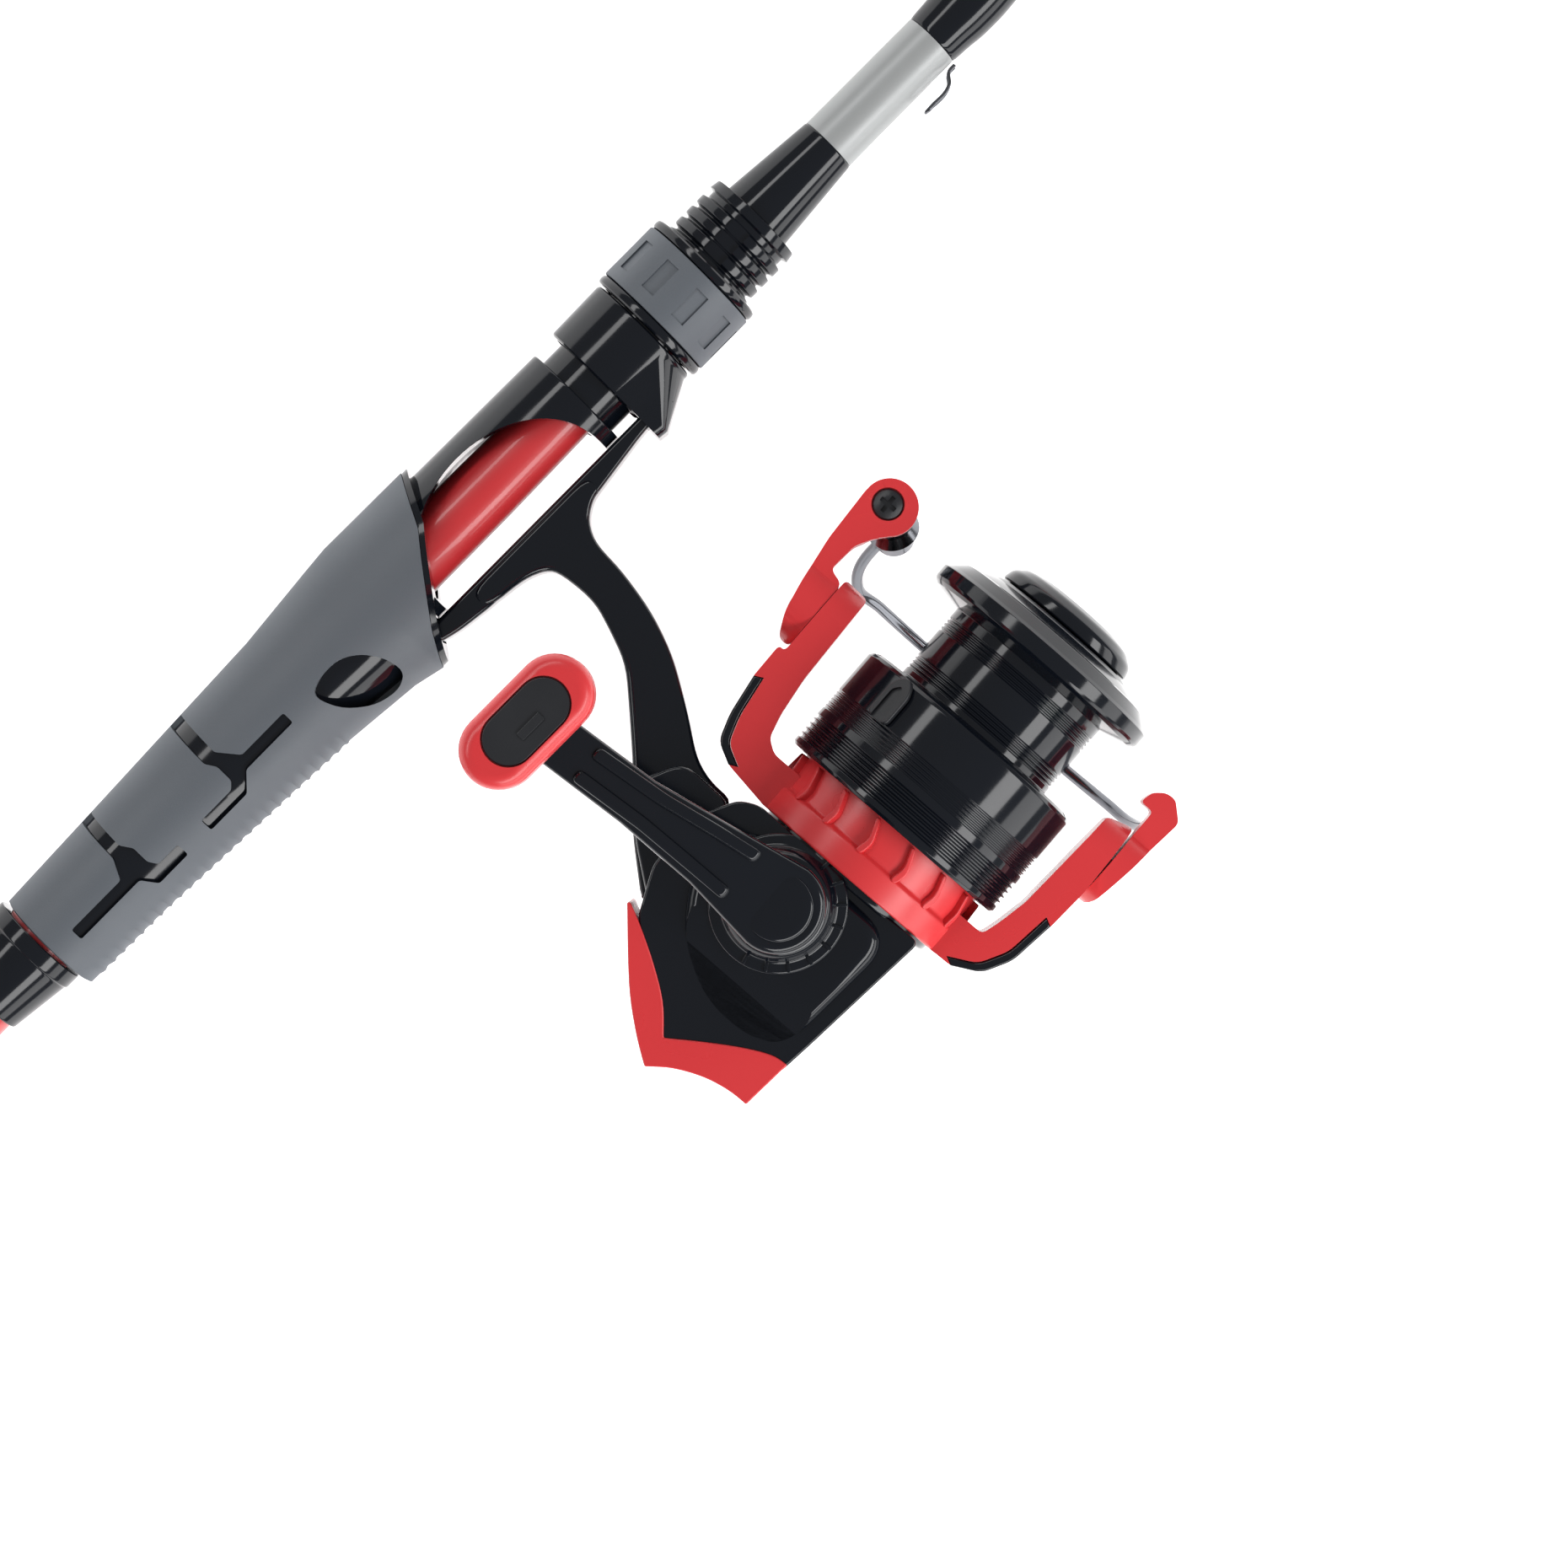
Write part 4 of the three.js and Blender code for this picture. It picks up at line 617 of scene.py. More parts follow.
butt_tube = BLANK_TAPER + [(x, r - 1.1) for x, r in reversed(BLANK_TAPER)]
place(turned(butt_tube), "butt_blank_smooth", ROD, "butt_blank")
tip_rod = [
    (FERRULE_END + 2, 0), (FERRULE_END + 2, 3.8), (FERRULE_X + 0.3, 3.8),
] + TIP_TAPER + [(ROD_LENGTH - 4, 0)]
place(turned(tip_rod, steps=48), "tip_blank_smooth", ROD, "tip_blank")
cap = [
    (0, 0), (0, CAP_R - 1.6), (1, CAP_R - 0.5), (3, CAP_R), (CAP_LENGTH, CAP_R), (CAP_LENGTH, 8),
    (3, 8), (3, 0),
]
place(turned(cap, 0.6), "butt_cap_smooth", ROD, "butt_cap")
grip = [(15.3, 12.6), (97, 11.2), (103, 10), (105, 8.6)]
place(sleeve_on_blank(grip, 1.5), "rear_grip_smooth", ROD, "rear_grip")
place(tube_of(FERRULE_X + 1, FERRULE_X + 24, 5.1, 4.55), "ferrule_wrap_smooth", ROD, "ferrule_wrap")
check = [(SEAT_X - 128.5, 7.9), (SEAT_X - 116.9, 9.3), (SEAT_X - 116.7, 9.6), (SEAT_X - 113.7, 9.6)]
place(sleeve_on_blank(check), "grip_end_check_smooth", ROD, "grip_end_check")

# %% [markdown]
# ## Cone, label and keeper
# Ahead of the thread a gloss cone runs down to a silver band, and a wrapped and lacquered length
# holds a small wire loop that keeps the hook. The wrap swells where the loop's feet are bound in.
# %% Cone, label and keeper
CONE_START = SEAT_X + 69
LABEL_START = CONE_START + 18.1
WRAP_START = LABEL_START + 26.4
cone = [(CONE_START - 0.25, 7.2), (CONE_START + 18.1, 5.6)]
place(sleeve_on_blank(cone), "front_cone_smooth", ROD, "front_cone")
label = [(LABEL_START, 5.5), (LABEL_START + 26.4, 5.4)]
place(sleeve_on_blank(label, 0.08), "label_band_smooth", ROD, "label_band")
wrap = [(WRAP_START, 5.5), (WRAP_START + 4, 5.7), (WRAP_START + 7, 6.1), (WRAP_START + 12, 6.15)]
wrap += [(WRAP_START + 17, 5.7), (WRAP_START + 22, 5.3), (WRAP_START + 25, blank_at(WRAP_START + 25) + 0.4)]
place(sleeve_on_blank(wrap, 2.0), "keeper_wrap_smooth", ROD, "keeper_wrap", crease=50)
leg = [(-0.3, 6.2, 1.8), (-1.9, 6.35, 1.8), (-3.7, 8.05, 1.8), (-8.7, 8.45, 1.5)]
bend = [(-9.6, 8.45, 0.8), (-9.9, 8.45, 0), (-9.6, 8.45, -0.8)]
back = [(s, drop, -z) for s, drop, z in reversed(leg)]
loop = [(WRAP_START + s, -drop, z) for s, drop, z in leg + bend + back]
place(wire(loop, 0.35, 12), "hook_keeper_smooth", ROD, "hook_keeper")

# %% [markdown]
# ## Line guides
# Each guide is a ceramic ring in a holder on wire legs. One function makes them all, because
# they differ only in place and ring size.
# %% Line guides
GUIDES = [(830, 10), (1210, 7), (1500, 5), (1700, 4)]


def make_guide(number, x, ring_r):
    blank_r = blank_at(x)
    height = blank_r + 5 + ring_r * 1.6
    leg_r = 0.45 + ring_r * 0.04
    outer = ring_r + 1.1
    reach = 5 + ring_r
    near = blank_at(x - reach - 4)
    seat = -(max(blank_r, near) + GAP + 0.5)
    rim = outer + GAP + 0.5
    foot = box_of(x - reach - 4, x + reach, seat - 0.5, seat + 0.5, -1.1, 1.1)
    soften(foot, list(foot.edges), 0.35, 3)
    holder = moved(tube_of(x - 0.9, x + 0.9, outer + GAP + 1, outer + 0.05, 0.4, 64), 0, -height, 0)
    legs = [wire([(x + reach - 0.6, seat, 0), (x + 0.2, -height + rim + 0.3, 0)], leg_r, 12, False)]
    for side in (-1, 1):
        path = [(x - reach - 2, seat, 0), (x - 0.2, -height, side * (rim + 0.4))]
        legs.append(wire(path, leg_r, 12, False))
    ring = moved(tube_of(x - 0.8, x + 0.8, outer, ring_r, 0.7, 64), 0, -height, 0)
    place(together(foot, holder, *legs), f"guide_frame_{number}_smooth", ROD, f"guide_frame_{number}")
    place(ring, f"guide_ring_{number}_smooth", ROD, f"guide_ring_{number}")


for number, (x, ring_r) in enumerate(GUIDES, 1):
    make_guide(number, x, ring_r)

tip_inner = blank_at(ROD_LENGTH - 16) + GAP
tip_height = tip_inner + 0.6 + 4.1 + GAP
tip_sleeve = tube_of(ROD_LENGTH - 16, ROD_LENGTH - 2, tip_inner + 0.6, tip_inner - 0.2, 0.2, 48)
tip_holder = moved(tube_of(ROD_LENGTH - 1.8, ROD_LENGTH, 5.3, 4.15, 0.4, 64), 0, -tip_height, 0)
tip_stays = [
    wire([(ROD_LENGTH - 12, -tip_inner - 0.3, 0), (ROD_LENGTH - 1, -tip_height - 4.9, 0)], 0.5, 12, False),
    wire([(ROD_LENGTH - 5, -tip_inner - 0.3, 0), (ROD_LENGTH - 1, -tip_height + 4.9, 0)], 0.5, 12, False),
]
place(together(tip_sleeve, tip_holder, *tip_stays), "tip_top_frame_smooth", ROD, "tip_top_frame")
tip_ring = moved(tube_of(ROD_LENGTH - 1.7, ROD_LENGTH - 0.1, 4.1, 3.1, 0.6, 64), 0, -tip_height, 0)
place(tip_ring, "tip_top_ring_smooth", ROD, "tip_top_ring")

# %% [markdown]
# ## Grip sleeve
# The sleeve is round but flatter than tall, and its middle drops below the rod's. So it is turned
# first and then each ring is lowered and flattened. Small ribs under the finger are raised on
# the same points. Its front edge slants back, and slots are cut into its side.
# %% Grip sleeve
SLEEVE_DEPTH = 0.92
SLEEVE_FORM = [(-113.1, 10.4), (-93, 10.9), (-50, 12.7), (-34, 14.2), (-28.3, 15.1), (-7, 15.1)]
SLEEVE_DROP = [(-113.1, 1.6), (-93, 1.4), (-50, 1.6), (-34, 1.6), (-28.3, 2.0), (-7, 2.2)]
SLEEVE_EDGE = [
    (-8, 16), (-9.1, 12), (-13.5, 2.8), (-16.7, -1.2), (-24.7, -11.6), (-28.3, -17.2), (-30.5, -21),
]
RIBS = (-111.5, -49.5)
RIB_PITCH = 2.4
RIB_HEIGHT = 0.35


def sleeve_form(inset=0.0, ribs=False):
    """The sleeve's outer form, drawn in by an inset."""
    start, end = SLEEVE_FORM[0][0], SLEEVE_FORM[-1][0]
    count = 180
    places = [start + (end - start) * i / count for i in range(count + 1)]
    profile = [(x, lookup(SLEEVE_FORM, x) - inset) for x in places]
    bm = turned(
        [(start, 0), (start, profile[0][1] - 0.8), (start + 0.3, profile[1][1])] + profile[2:] + [(end, 0)]
    )
    for vert in bm.verts:
        if ribs and RIBS[0] < vert.co.x < RIBS[1]:
            under = max(0.0, -vert.co.y / math.hypot(vert.co.y, vert.co.z) - 0.8) / 0.2
            wave = max(0.0, math.sin(2 * math.pi * vert.co.x / RIB_PITCH))
            vert.co.y -= RIB_HEIGHT * wave * min(1, 2 * under)
        vert.co.y -= lookup(SLEEVE_DROP, vert.co.x)
        vert.co.z *= SLEEVE_DEPTH
    return bm


def edge_slab(near, far):
    """The space between two distances from the sleeve's slanting edge, along the rod."""
    outline = [(s + near, y) for s, y in SLEEVE_EDGE] + [(s + far, y) for s, y in reversed(SLEEVE_EDGE)]
    return slab(outline, -30, 30)


def foot_room():
    rear = box_of(-32.8, -22, -14.2, -10.3, -5.5, 5.5)
    front = box_of(-24.5, 34.8, -30, -10.3, -5.5, 5.5)
    return join(rear, front)


# Slots across and along the grip's side, as outlines of (s, y) with s from the seat window.
FRONT_SLOT = [
    (-70.1, 12), (-67.3, 12), (-67.3, 0.6), (-64.2, -3.2), (-53.7, -3.2), (-53.7, -5.6), (-65.5, -5.6),
    (-68.6, -8.6), (-77.7, -8.6), (-77.7, -6.2), (-70.1, -6.2), (-68.8, -5.0), (-68.8, -1.6), (-70.1, 0.4),
]
REAR_SLOT = [
    (-93.5, 12), (-91.1, 12), (-91.1, 1.0), (-89.6, -1.2), (-89.6, -4.6), (-88.6, -6.2), (-83.7, -6.2),
    (-83.7, -8.7), (-91.0, -8.7), (-93.0, -5.9), (-107.8, -5.9), (-107.8, -3.5), (-95.4, -3.5),
    (-93.5, 0.2),
]
ALMOND = [
    (-48.1, -4.8), (-44.5, -3.3), (-40, -3.4), (-36.5, -5.6), (-33.9, -9.5), (-33.4, -13.2), (-36.5, -14.6),
    (-41.5, -13.6), (-46, -10),
]
SLOT_DEPTH = 1.0
ALMOND_DEPTH = 2.2


def engraved(outline, depth, radius):
    """The room of an engraving: the outline's plate outside a form drawn in by its depth."""
    return cut(slab(rounded(outline, radius), 2, 30), sleeve_form(depth))


seat_bore = turned([(-120, 0), (-120, 7.4), (-53.8, 7.4), (-53.8, 9.15), (0, 9.15), (0, 0)])
sleeve = common(sleeve_form(ribs=True), edge_slab(-130, 0))
slot_rooms = [
    engraved(FRONT_SLOT, SLOT_DEPTH, 0.5), engraved(REAR_SLOT, SLOT_DEPTH, 0.5),
    engraved(ALMOND, ALMOND_DEPTH, 3),
]
sleeve = cut(sleeve, seat_bore, foot_room(), *slot_rooms)
place(sleeve, "grip_sleeve_smooth", SEAT, "grip_sleeve", crease=30)
# The black sheets at the bottom of the two slots are painted shade in the grooves; the one in the almond
# stands for the seat's own black below the sleeve.
for number, (outline, depth, radius) in enumerate(
    [(FRONT_SLOT, SLOT_DEPTH, 0.5), (REAR_SLOT, SLOT_DEPTH, 0.5), (ALMOND, ALMOND_DEPTH, 3)], 1
):
    shade_and_black_sheet = common(
        slab(rounded(outline, radius), 2, 30), cut(sleeve_form(depth - 0.12), sleeve_form(depth + 0.2)),
    )
    place(shade_and_black_sheet, f"grip_painted_shade_and_black_{number}", SEAT, "grip_sleeve", slot="gloss_black", stands_in=False)

# %% [markdown]
# ## Reel seat
# The black seat is one moulding: a shank inside the grip, a barrel with an arched window, a lip
# along the grip's edge and the threaded pipe. Solids are turned and joined, and the window, the
# bore and the room for the reel's foot are cut out. The thread is shallow rounded ridges with a
# flat keyway.
# %% Reel seat
BARREL_R = 11.3
BARREL_END = 23.2
PIPE_R = 8.7
THREAD_R = 9.7
THREAD_PITCH = 2.7
THREAD_START = 44
SEAT_END = 68.7
LIP_WIDTH = 1.4
WINDOW_HALF_LENGTH = 20.3
WINDOW_TOP = 7
WINDOW_BASE = 9


def thread_profile():
    points = []
    count = int((SEAT_END - 2.4 - THREAD_START) / THREAD_PITCH)
    for turn in range(count):
        s = THREAD_START + turn * THREAD_PITCH
        points += [
            (s, PIPE_R), (s + 0.3, THREAD_R - 0.1), (s + 0.7, THREAD_R), (s + 2, THREAD_R),
            (s + 2.4, PIPE_R),
        ]
    return points + [(SEAT_END - 2.2, PIPE_R), (SEAT_END - 1.9, THREAD_R), (SEAT_END, THREAD_R - 0.3)]


def window_room():
    arch = [
        (x * WINDOW_HALF_LENGTH, y * (WINDOW_BASE + WINDOW_TOP) - WINDOW_BASE)
        for x, y in arc(0, 0, 1, 0, 180, 40)
    ]
    return slab(arch + [(-WINDOW_HALF_LENGTH, -30), (WINDOW_HALF_LENGTH, -30)], -30, 30)


shank = rod_of(-53.5, 0, 9)
barrel = common(
    turned([(-40, 0), (-40, BARREL_R), (BARREL_END, BARREL_R - 0.6), (BARREL_END, 0)], 0.5),
    edge_slab(0.15, 80),
)
lip = common(sleeve_form(0.15), edge_slab(0.12, LIP_WIDTH))
pipe = turned([(-10, 0), (-10, PIPE_R)] + thread_profile() + [(SEAT_END, 0)], 0.15)
bore = turned([(-55, 0), (-55, 8.1), (SEAT_END + 1, 5.9), (SEAT_END + 1, 0)])
keyway = box_of(THREAD_START - 1, SEAT_END - 2.4, -2.2, 2.2, PIPE_R + 0.15, 12)
seat = cut(join(shank, barrel, pipe), window_room(), foot_room(), bore, keyway)
lip = cut(lip, foot_room(), rod_of(-55, 5, 8.2))
place(together(seat, lip), "reel_seat_smooth", SEAT, "reel_seat", crease=40)

# %% [markdown]
# ## Sliding hood and lock nut
# The hood slides on the thread and its flared mouth presses on the reel's foot. The nut behind it
# has a soft band with shallow finger recesses, repeated by turning one cutter round the axis.
# The flare is a skin pulled from the round collar over the mouth's corners, so it needs no blend.
# %% Sliding hood and lock nut
HOOD_START = BARREL_END + 4.7
HOOD_END = HOOD_START + 12.3
NUT_START = HOOD_END + 0.3
NUT_END = NUT_START + 15.8
HOOD_R = 11.4
NUT_R = 12.1
NUT_RIM = 1.9
RECESSES = 10

collar = turned([(HOOD_START, 0), (HOOD_START, HOOD_R - 0.2), (HOOD_END, HOOD_R), (HOOD_END, 0)], 0.7)
MOUTH_HALF = 6.4
MOUTH_CORNER = 2.2
ring = [(y, z) for y, z in arc(0, 0, HOOD_R - 0.25, 0, 360, 72)]
lip_corners = [(y, z + side * (MOUTH_HALF - MOUTH_CORNER)) for side in (-1, 1)
               for y, z in arc(-15.9 + MOUTH_CORNER, 0, MOUTH_CORNER, 0, 360, 24)]
mouth = [(HOOD_END - 0.8, y, z) for y, z in ring] + [
    (HOOD_START + 0.3, y, z)
    for y, z in lip_corners + ring
]
mouth = wrapped(mouth + [(HOOD_START + 2.2, y - 0.2, z) for y, z in lip_corners])
hood_bore = rod_of(HOOD_START - 1, HOOD_END + 1, THREAD_R + 0.1)
foot_slot = box_of(HOOD_START - 1, 34.6, -13.1, -9, -5.2, 5.2)
place(
    cut(join(collar, mouth), hood_bore, foot_slot), "sliding_hood_smooth", SEAT, "sliding_hood",
    crease=45,
)

nut_core = THREAD_R + 0.1
nut = [
    (NUT_START, nut_core), (NUT_START, NUT_R), (NUT_START + NUT_RIM, NUT_R),
    (NUT_START + NUT_RIM, nut_core + 0.7),
    (NUT_END - NUT_RIM, nut_core + 0.7), (NUT_END - NUT_RIM, NUT_R), (NUT_END, NUT_R), (NUT_END, nut_core),
]
place(turned(nut, 0.9), "lock_nut_smooth", SEAT, "lock_nut")
band = tube_of(NUT_START + NUT_RIM + 0.1, NUT_END - NUT_RIM - 0.1, NUT_R, nut_core + 0.8, 0.3, 120)
middle = (NUT_START + NUT_END) / 2
recess_rooms = []
for number in range(RECESSES):
    room = box_of(middle - 3.3, middle + 3.3, -1.5, 1.5, NUT_R - 0.45, NUT_R + 2)
    turn = Matrix.Rotation(2 * math.pi * (number + 0.5) / RECESSES, 3, "X")
    bmesh.ops.rotate(room, verts=room.verts, matrix=turn)
    recess_rooms.append(room)
band = cut(band, together(*recess_rooms))
place(band, "lock_nut_grip_smooth", SEAT, "lock_nut_grip")

# %% [markdown]
# ## Reel body
# The foot, the stem and the housing are one casting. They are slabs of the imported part's outline,
# sunk into each other. The foot is thin and gets a fine rim, so that the stem can have a wide one.
# The housing thins toward its tail, so its crank side is cut by a sloping plane before its rim is
# rounded.
# %% Reel body
BODY_HALF = 16
NOSE_START = 12.1
BOSS_R = 18.6
BOSS_END = 17.5
NOSE_R = 9.5
NOSE_END = 28
CRANK_BOSS_R = 12.5
CRANK_BOSS_TOP = 22
FOOT_TOP = 10.6
FOOT_THICKNESS = 2.6
HOUSING = [
    (-21.8, -13.2), (NOSE_START, -16.8), (NOSE_START, 20.6), (10.3, 24), (4, 27.5), (-8, 28), (-17, 23.9),
    (-21.6, 18.5), (-27.4, 12), (-33.2, 6.4), (-28.2, 0.6), (-24.4, -5), (-22.3, -10),
]
INTO_REEL = REEL.inverted() @ SEAT


def from_seat(point):
    spot = INTO_REEL @ Vector((point[0], -point[1], 0))
    return spot.x, spot.y


def sloped(bm):
    """Cuts away the crank side of the tail along the housing's slope and closes the cut."""
    geometry = list(bm.verts) + list(bm.edges) + list(bm.faces)
    slope = Vector((-(BODY_HALF + 1 + 3) / 48, 0, 1)).normalized()
    result = bmesh.ops.bisect_plane(
        bm, geom=geometry, plane_co=(-12, 0, BODY_HALF + 1), plane_no=slope, clear_outer=True,
    )
    cut_edges = [item for item in result["geom_cut"] if isinstance(item, bmesh.types.BMEdge)]
    bmesh.ops.holes_fill(bm, edges=cut_edges, sides=0)
    return tidy(bm)


STEM_REAR = [(-0.7, 28), (-1.5, 20), (-3.1, 18), (-7.1, 16.4), (-13.5, 15.8), (-21.5, 14.8)]
STEM_FRONT = [(26.5, FOOT_TOP + FOOT_THICKNESS), (12.1, 15.2), (8.9, 17.2), (6.9, 20.8), (6.7, 28)]
STEM_LOW_REAR = [(-16, 24), (-6.3, 34.9), (2.3, 42.1), (10.2, 49.9), (15.4, 55.2), (18.2, 61.4)]
STEM_LOW_FRONT = [
    (25.6, 57.7), (22.2, 49.9), (17.8, 43.4), (15.1, 39.7), (11.1, 34.6), (9.5, 29.9), (9.5, 24),
]
FOOT = [
    (-27.5, FOOT_TOP + FOOT_THICKNESS), (-32.5, FOOT_TOP + FOOT_THICKNESS - 0.2), (-32.5, FOOT_TOP),
    (34.5, FOOT_TOP), (34.5, FOOT_TOP + FOOT_THICKNESS - 0.3),
]
ARM_CUT_REAR = (-13.5, 15.8)
ARM_CUT_FRONT = (12.1, 15.2)
foot = [ARM_CUT_REAR, (-21.5, 14.8)] + FOOT + [(26.5, FOOT_TOP + FOOT_THICKNESS), ARM_CUT_FRONT]
foot = slab(rounded([from_seat(p) for p in foot], 2), -4.6, 4.6, 1.2, 4)
crotch = [(-15.5, 15.6), (-15.5, FOOT_TOP + 0.5), (14.5, FOOT_TOP + 0.5), (14.5, 14.9)]
stem = STEM_LOW_REAR + [from_seat(p) for p in STEM_REAR[:4] + crotch + STEM_FRONT[1:]] + STEM_LOW_FRONT
stem = slab(rounded(stem, 4), -4.9, 4.9, 2.3, 6)
housing = slab(rounded(HOUSING, 1.5), -BODY_HALF, BODY_HALF)
housing = sloped(housing)
rims = [e for e in sharp_edges(housing, 30) if max(v.co.z for v in e.verts) > -BODY_HALF + 0.5]
soften(housing, rims, 2.4, 6)
shoulder = slab(rounded([(-15, 23), (-6.5, 34), (1, 40), (9, 36), (8.8, 24)], 3), -9.6, 9.6, 5.5, 8)
boss = rod_of(NOSE_START - 1, BOSS_END, BOSS_R, 1.0)
nose = rod_of(NOSE_START, NOSE_END, NOSE_R, 0.6)
print("housing outline of", len(HOUSING), "points")

# %% [markdown]
# The crank side carries a raised oval, a round boss for the crank and a ring of short dial marks.
# They are low steps with soft rims, so that each one draws its own bright line.
# %% Bulge, crank boss and the finished body
BULGE = [(-17, -11), (9.6, -13.2), (10.4, 8), (8, 20), (-4, 22.5), (-14, 16), (-20, 6), (-20.5, -4)]
DIAL_MARKS = 9


def disc_at_crank(low, high, radius, bevel=0.6, steps=96):
    return moved(standing(rod_of(low, high, radius, bevel, steps)), CRANK_X, CRANK_Y, 0)


bulge = slab(rounded(BULGE, 7, 8), 5, 18.4, 2.6, 7)
ring = moved(standing(turned([
    (14, 0), (14, CRANK_BOSS_R), (18.9, CRANK_BOSS_R), (19.5, CRANK_BOSS_R - 2.2),
    (CRANK_BOSS_TOP - 1, CRANK_BOSS_R - 3), (CRANK_BOSS_TOP, 8.6), (CRANK_BOSS_TOP, 0),
], 0.5)), CRANK_X, CRANK_Y, 0)
front_room = box_of(NOSE_START, 40, -30, 30, 0, 30)
crank_side = cut(join(sloped(bulge), ring), front_room)
nose = cut(nose, rod_of(NOSE_END - 3, NOSE_END + 1, 7.3))
marks = []
for number in range(DIAL_MARKS):
    mark = box_of(9.8, 12.2, -0.35, 0.35, 18, 19.75)
    soften(mark, list(mark.edges), 0.2, 2)
    turn = Matrix.Rotation(math.radians(190 + number * 20), 3, "Z")
    bmesh.ops.rotate(mark, verts=mark.verts, matrix=turn)
    marks.append(moved(mark, CRANK_X, CRANK_Y, 0))
place(
    together(housing, shoulder, foot, stem, boss, nose, crank_side, *marks), "reel_body_smooth", REEL,
    "reel_body", crease=38,
)

# %% [markdown]
# ## Side cover, its screws and the rear cover
# The far side is closed by a flat cover of the housing's outline with a round boss and three
# cross-head screws. The red cover wraps the tail in two bands that meet in an arrow's point.
# %% Side cover, screws and rear cover
COVER_THICKNESS = 2
COVER_TOP = -BODY_HALF - 0.1
COVER_BOSS_DEPTH = 21
BAND_PROUD = 0.35
SCREW_PLACES = [(7.5, -12.6), (-19.3, -9), (-13, 22.3)]
BAND_OUTER = [
    (-16.2, 27.1), (-27.1, 17.4), (-32.9, 10.9), (-36.7, 5.6), (-33.6, 1.6), (-31.2, -3.4), (-30, -8.3),
    (-29.8, -12.5),
]
BAND_INNER = [
    (-19.5, -13.3), (-20, -10), (-22.5, -5.1), (-26.5, 1), (-30.4, 6.4), (-25.5, 10.8), (-21.2, 16.8),
    (-17.6, 23), (-15.8, 26.6),
]


def cross_recess(depth, size):
    """The two crossed bars of a screwdriver's recess, sunk from z = 0."""
    bars = [
        box_of(-size, size, -size / 4, size / 4, -depth, depth),
        box_of(-size / 4, size / 4, -size, size, -depth, depth),
    ]
    return join(*bars)


def screw_head(radius, height):
    """A low domed cross-head, standing on z with its top at z = 0."""
    head = standing(
        turned(
            [(-height, 0), (-height, radius), (-height * 0.4, radius), (0, radius * 0.5), (0, 0)], 0.3,
            48,
        )
    )
    return cut(head, cross_recess(height * 0.55, radius * 0.6))


lid = slab(rounded(HOUSING, 1.5), COVER_TOP - COVER_THICKNESS, COVER_TOP, 0.7, 4)
lid_boss = moved(standing(turned([
    (-COVER_BOSS_DEPTH, 0), (-COVER_BOSS_DEPTH, CRANK_BOSS_R - 4),
    (-COVER_BOSS_DEPTH + 1.4, CRANK_BOSS_R - 2.5),
    (COVER_TOP, CRANK_BOSS_R - 2.5), (COVER_TOP, 0),
], 0.6)), CRANK_X, CRANK_Y, 0)
lid_rooms = [moved(standing(rod_of(-20, COVER_TOP - 0.9, 2.4)), x, y, 0) for x, y in SCREW_PLACES]
cap_room = disc_at_crank(-COVER_BOSS_DEPTH - 1, -COVER_BOSS_DEPTH + 1.6, 7, 0)
front_boss_room = rod_of(0, BOSS_END + 1, BOSS_R + 0.15)
side_cover = cut(join(lid, lid_boss), front_boss_room, cap_room, *lid_rooms)
place(side_cover, "side_cover_smooth", REEL, "side_cover")
for number, (x, y) in enumerate(SCREW_PLACES, 1):
    head = screw_head(2.1, 1.2)
    bmesh.ops.rotate(head, verts=head.verts, matrix=Matrix.Rotation(math.pi, 3, "X"))
    place(moved(head, x, y, COVER_TOP - 2.3), f"cover_screw_{number}_smooth", REEL, f"cover_screw_{number}")
port_cap = turned([(-22, 0), (-22, 5), (-20.7, 6.7), (-19.6, 6.7), (-19.6, 0)], 0.4)
place(moved(standing(port_cap), CRANK_X, CRANK_Y, 0), "handle_port_cap_smooth", REEL, "handle_port_cap")

outline = (
    flowing(BAND_OUTER[:4]) + flowing(BAND_OUTER[3:])[1:]
    + flowing(BAND_INNER[:5]) + flowing(BAND_INNER[4:])[1:]
)
band = moved(sloped(slab(outline, -BODY_HALF, BODY_HALF)), 0, 0, BAND_PROUD)
soften(band, [e for e in sharp_edges(band, 30)], 0.5, 3)
place(band, "rear_cover_smooth", REEL, "rear_cover", crease=45)

# %% [markdown]
# ## Crank arm and knob
# The arm leans outward, so its flat slab is sheared after its rims are rounded. Two long raised
# ridges run down its face. The red paddle is a slot-shaped slab with wide rims over a narrow
# neck, and its black cap sits in a recess.
# %% Crank arm
CRANK = REEL @ Matrix.Translation((CRANK_X, CRANK_Y, 0))
CRANK_RADIUS = 52
ARM_BASE_Z = 34
ARM_SLOPE = 0.306
ARM_ROOT_THICKNESS = 7
ARM_END_THICKNESS = 5
ARM_END_SHIFT = -3.4
ARM_LINE = [(0, 0, 8.4), (-0.6, 14.3, 6.2), (-2, 30, 4.7), (-3, 46, 4.6)]


def arm_thickness(y):
    return lookup([(0, ARM_ROOT_THICKNESS), (CRANK_RADIUS + 8, ARM_END_THICKNESS)], y)


def leaned(bm):
    """Leans a flat plate, made from z = 0 up to 1, into the arm's wedge."""
    for vert in bm.verts:
        y = vert.co.y
        base = ARM_BASE_Z + (ARM_SLOPE * y if y > 0 else 0.125 * y)
        vert.co.z = base + vert.co.z * arm_thickness(max(y, 0)) / ARM_ROOT_THICKNESS
    return bm


